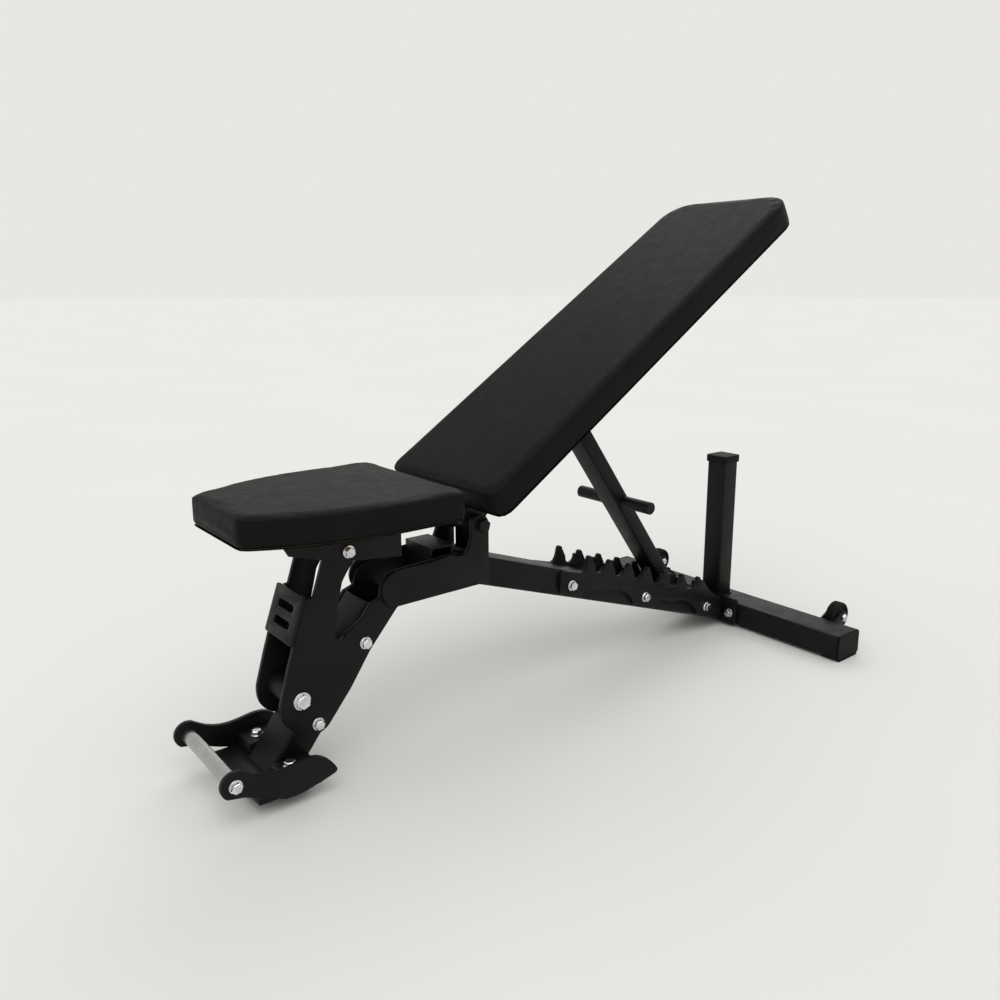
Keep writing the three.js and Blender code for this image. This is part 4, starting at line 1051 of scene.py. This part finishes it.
def seam_ring(outline, inset, z, r, cover):
    """A closed cord sunk a third into the cover along the outline: a folded seam."""
    points = [p / 1000 for p in offset(resampled(outline, 5), inset)]
    skin = BVHTree.FromPolygons([v.co for v in cover.vertices],
                                [tuple(f.vertices) for f in cover.polygons])
    bm = bmesh.new()
    rings = []
    count = len(points)
    for i, p in enumerate(points):
        along = (points[(i + 1) % count] - points[i - 1]).normalized()
        out = Vector((along.y, -along.x, 0))
        spot, normal, _, _ = skin.find_nearest(Vector((*p, z / 1000)))
        centre = spot - normal * r * 0.35
        rings.append([bm.verts.new(centre + r * (out * math.cos(a) + Vector((0, 0, math.sin(a)))))
                      for a in (math.pi / 4 * n for n in range(8))])
    join_rings(bm, rings, around=True)
    return bm


def clamp_into(mesh, lowest, highest):
    """Keeps a pad's points inside a box, in its own frame."""
    for vertex in mesh.vertices:
        for k in range(3):
            vertex.co[k] = min(max(vertex.co[k], lowest[k]), highest[k])


def build_pad(name, node, board, outline, z0, z1, place):
    block = pad_block(outline, z0, z1, 0.4)
    swollen = swell(block, rise=0.0024, fall=0.0002, board_top=(z0 + BOARD_T) / 1000)
    xs, ys = [p[0] for p in outline], [p[1] for p in outline]
    over = 1.5  # how far the foam may push the cover beyond the outline
    lowest = (min(xs) - 2 * over, min(ys) - over, z0 + 0.2)
    highest = (max(xs) + over, max(ys) + over, z1 + over)
    clamp_into(swollen, [v / 1000 for v in lowest], [v / 1000 for v in highest])
    cover = modified(swollen, ("SMOOTH", {"factor": 0.5, "iterations": 2}),
                     ("SUBSURF", {"levels": 1}))
    for where, height, inset in (("upper", z1 - 4.5, 1.0), ("lower", z0 + 8.5, 0.6)):
        ring = seam_ring(outline, inset, height, 0.001, cover)
        add_piece(f"{name}_{where}_seam", mesh_from(ring, "seam", place), VINYL,
                  body=body_of_node(node), smooth=80)
    cover.transform(place)
    pad = add_piece(f"{name}_cover", cover, VINYL, node, smooth=180)
    edge = resampled(offset(resampled(outline, 6), 7), 6)
    wood = plate_mesh("board", [(p.x, p.y) for p in edge], BOARD_T - 0.4)
    wood.transform(place @ MM @ Matrix.Translation((0, 0, z0 + BOARD_T / 2)))
    add_piece(f"{name}_board_shell", wood, PLYWOOD, board)
    folded_hem(name, outline, z0, place, body_of_node(node))


def folded_hem(name, outline, z0, place, body):
    """The cover's edge, folded under the board and stapled there."""
    points = resampled(outline, 12)
    count = len(points)
    levels = ((1.5, z0 + 0.6), (3.0, z0 - 0.5), (17.0, z0 - 0.5), (18.0, z0 + 0.3), (3.5, z0 + 0.9))
    bm = bmesh.new()
    rings = []
    for inset, z in levels:
        loop = offset(points, inset)
        ripple = 0.9 if inset > 10 else 0.0
        rings.append([bm.verts.new((p.x, p.y + ripple * math.sin(i * 2.4), z))
                      for i, p in enumerate(loop)])
    join_rings(bm, rings, around=True)
    add_piece(f"{name}_hem", mesh_from(bm, "hem", place @ MM), VINYL, body=body, smooth=60)
    staples = bmesh.new()
    inner, outer = offset(points, 10.2), offset(points, 9.6)
    for i in range(0, count, 3):
        j = (i + 1) % count
        along = (inner[j] - inner[i]).normalized() * 5
        ends = [inner[i] - along, inner[i] + along, outer[i] + along, outer[i] - along]
        slab(staples, [(p.x, p.y) for p in ends], z0 - 1.0, z0 - 0.4)
    add_piece(f"{name}_staples", mesh_from(staples, "staples", place @ MM), ZINC, body=body)


def build_pads():
    build_pad("backrest", "back_pad", "back_board", back_outline(), PAD_TOP - BACK_T, PAD_TOP,
              ON_BACKREST)
    under = SEAT_TOP - SEAT_T - SEAT_HINGE_Z
    build_pad("seat", "seat_pad", "seat_board", seat_outline(), under, under + SEAT_T,
              ON_SEAT)


# ---- stage -------------------------------------------------------------------------------------
def build_stage():
    paint = Paint("studio_floor", Specular_IOR_Level=0.0)
    cloud = paint.noise(0.8, 2)
    color = paint.between(cloud, (0.708, 0.706, 0.698), (0.718, 0.716, 0.708))
    material = paint.finish(color, paint.between(cloud, 0.95, 1.0))
    bm = bmesh.new()
    bmesh.ops.create_grid(bm, x_segments=8, y_segments=8, size=60)
    mesh = mesh_from(bm, "studio_floor", Matrix.Translation((0, 0, -0.0005)))
    mesh.materials.append(material)
    floor = bpy.data.objects.new("studio_floor", mesh)
    bpy.context.scene.collection.objects.link(floor)


def soft_sun(name, direction, strength, spread):
    """A wide, even light that shines along a direction."""
    light = bpy.data.lights.new(name, "SUN")
    light.energy = strength
    light.angle = math.radians(spread)
    lamp = bpy.data.objects.new(name, light)
    bpy.context.scene.collection.objects.link(lamp)
    lamp.rotation_euler = Vector(direction).to_track_quat("-Z", "Y").to_euler()


def build_lights():
    world = bpy.data.worlds.new("studio")
    world.use_nodes = True
    background = world.node_tree.nodes["Background"]
    background.inputs["Color"].default_value = (0.807, 0.799, 0.768, 1)
    background.inputs["Strength"].default_value = 1.0
    bpy.context.scene.world = world
    soft_sun("key", (0.25, 0.35, -1), 0.9, 60)
    soft_sun("rim", (-0.6, -0.5, -0.7), 0.5, 40)


def build_camera():
    camera = bpy.data.cameras.new("camera")
    camera.sensor_width = 36
    camera.lens = 31.41
    camera.shift_x = -0.0124
    camera.shift_y = -0.0208
    camera.clip_start = 0.05
    viewer = bpy.data.objects.new("camera", camera)
    bpy.context.scene.collection.objects.link(viewer)
    viewer.location = at(-421.0, -1183.2, 741.7)
    viewer.rotation_euler = (math.radians(90 - 12.4), 0, math.radians(-39.2))
    bpy.context.scene.camera = viewer
    bpy.context.scene.view_settings.view_transform = "Standard"


build_beam()
build_ladder()
build_rear_stand()
build_leg()
build_spacers()
build_foot()
build_backrest_steel()
build_strut()
build_seat_bracket()
build_pads()
build_stage()
build_lights()
build_camera()
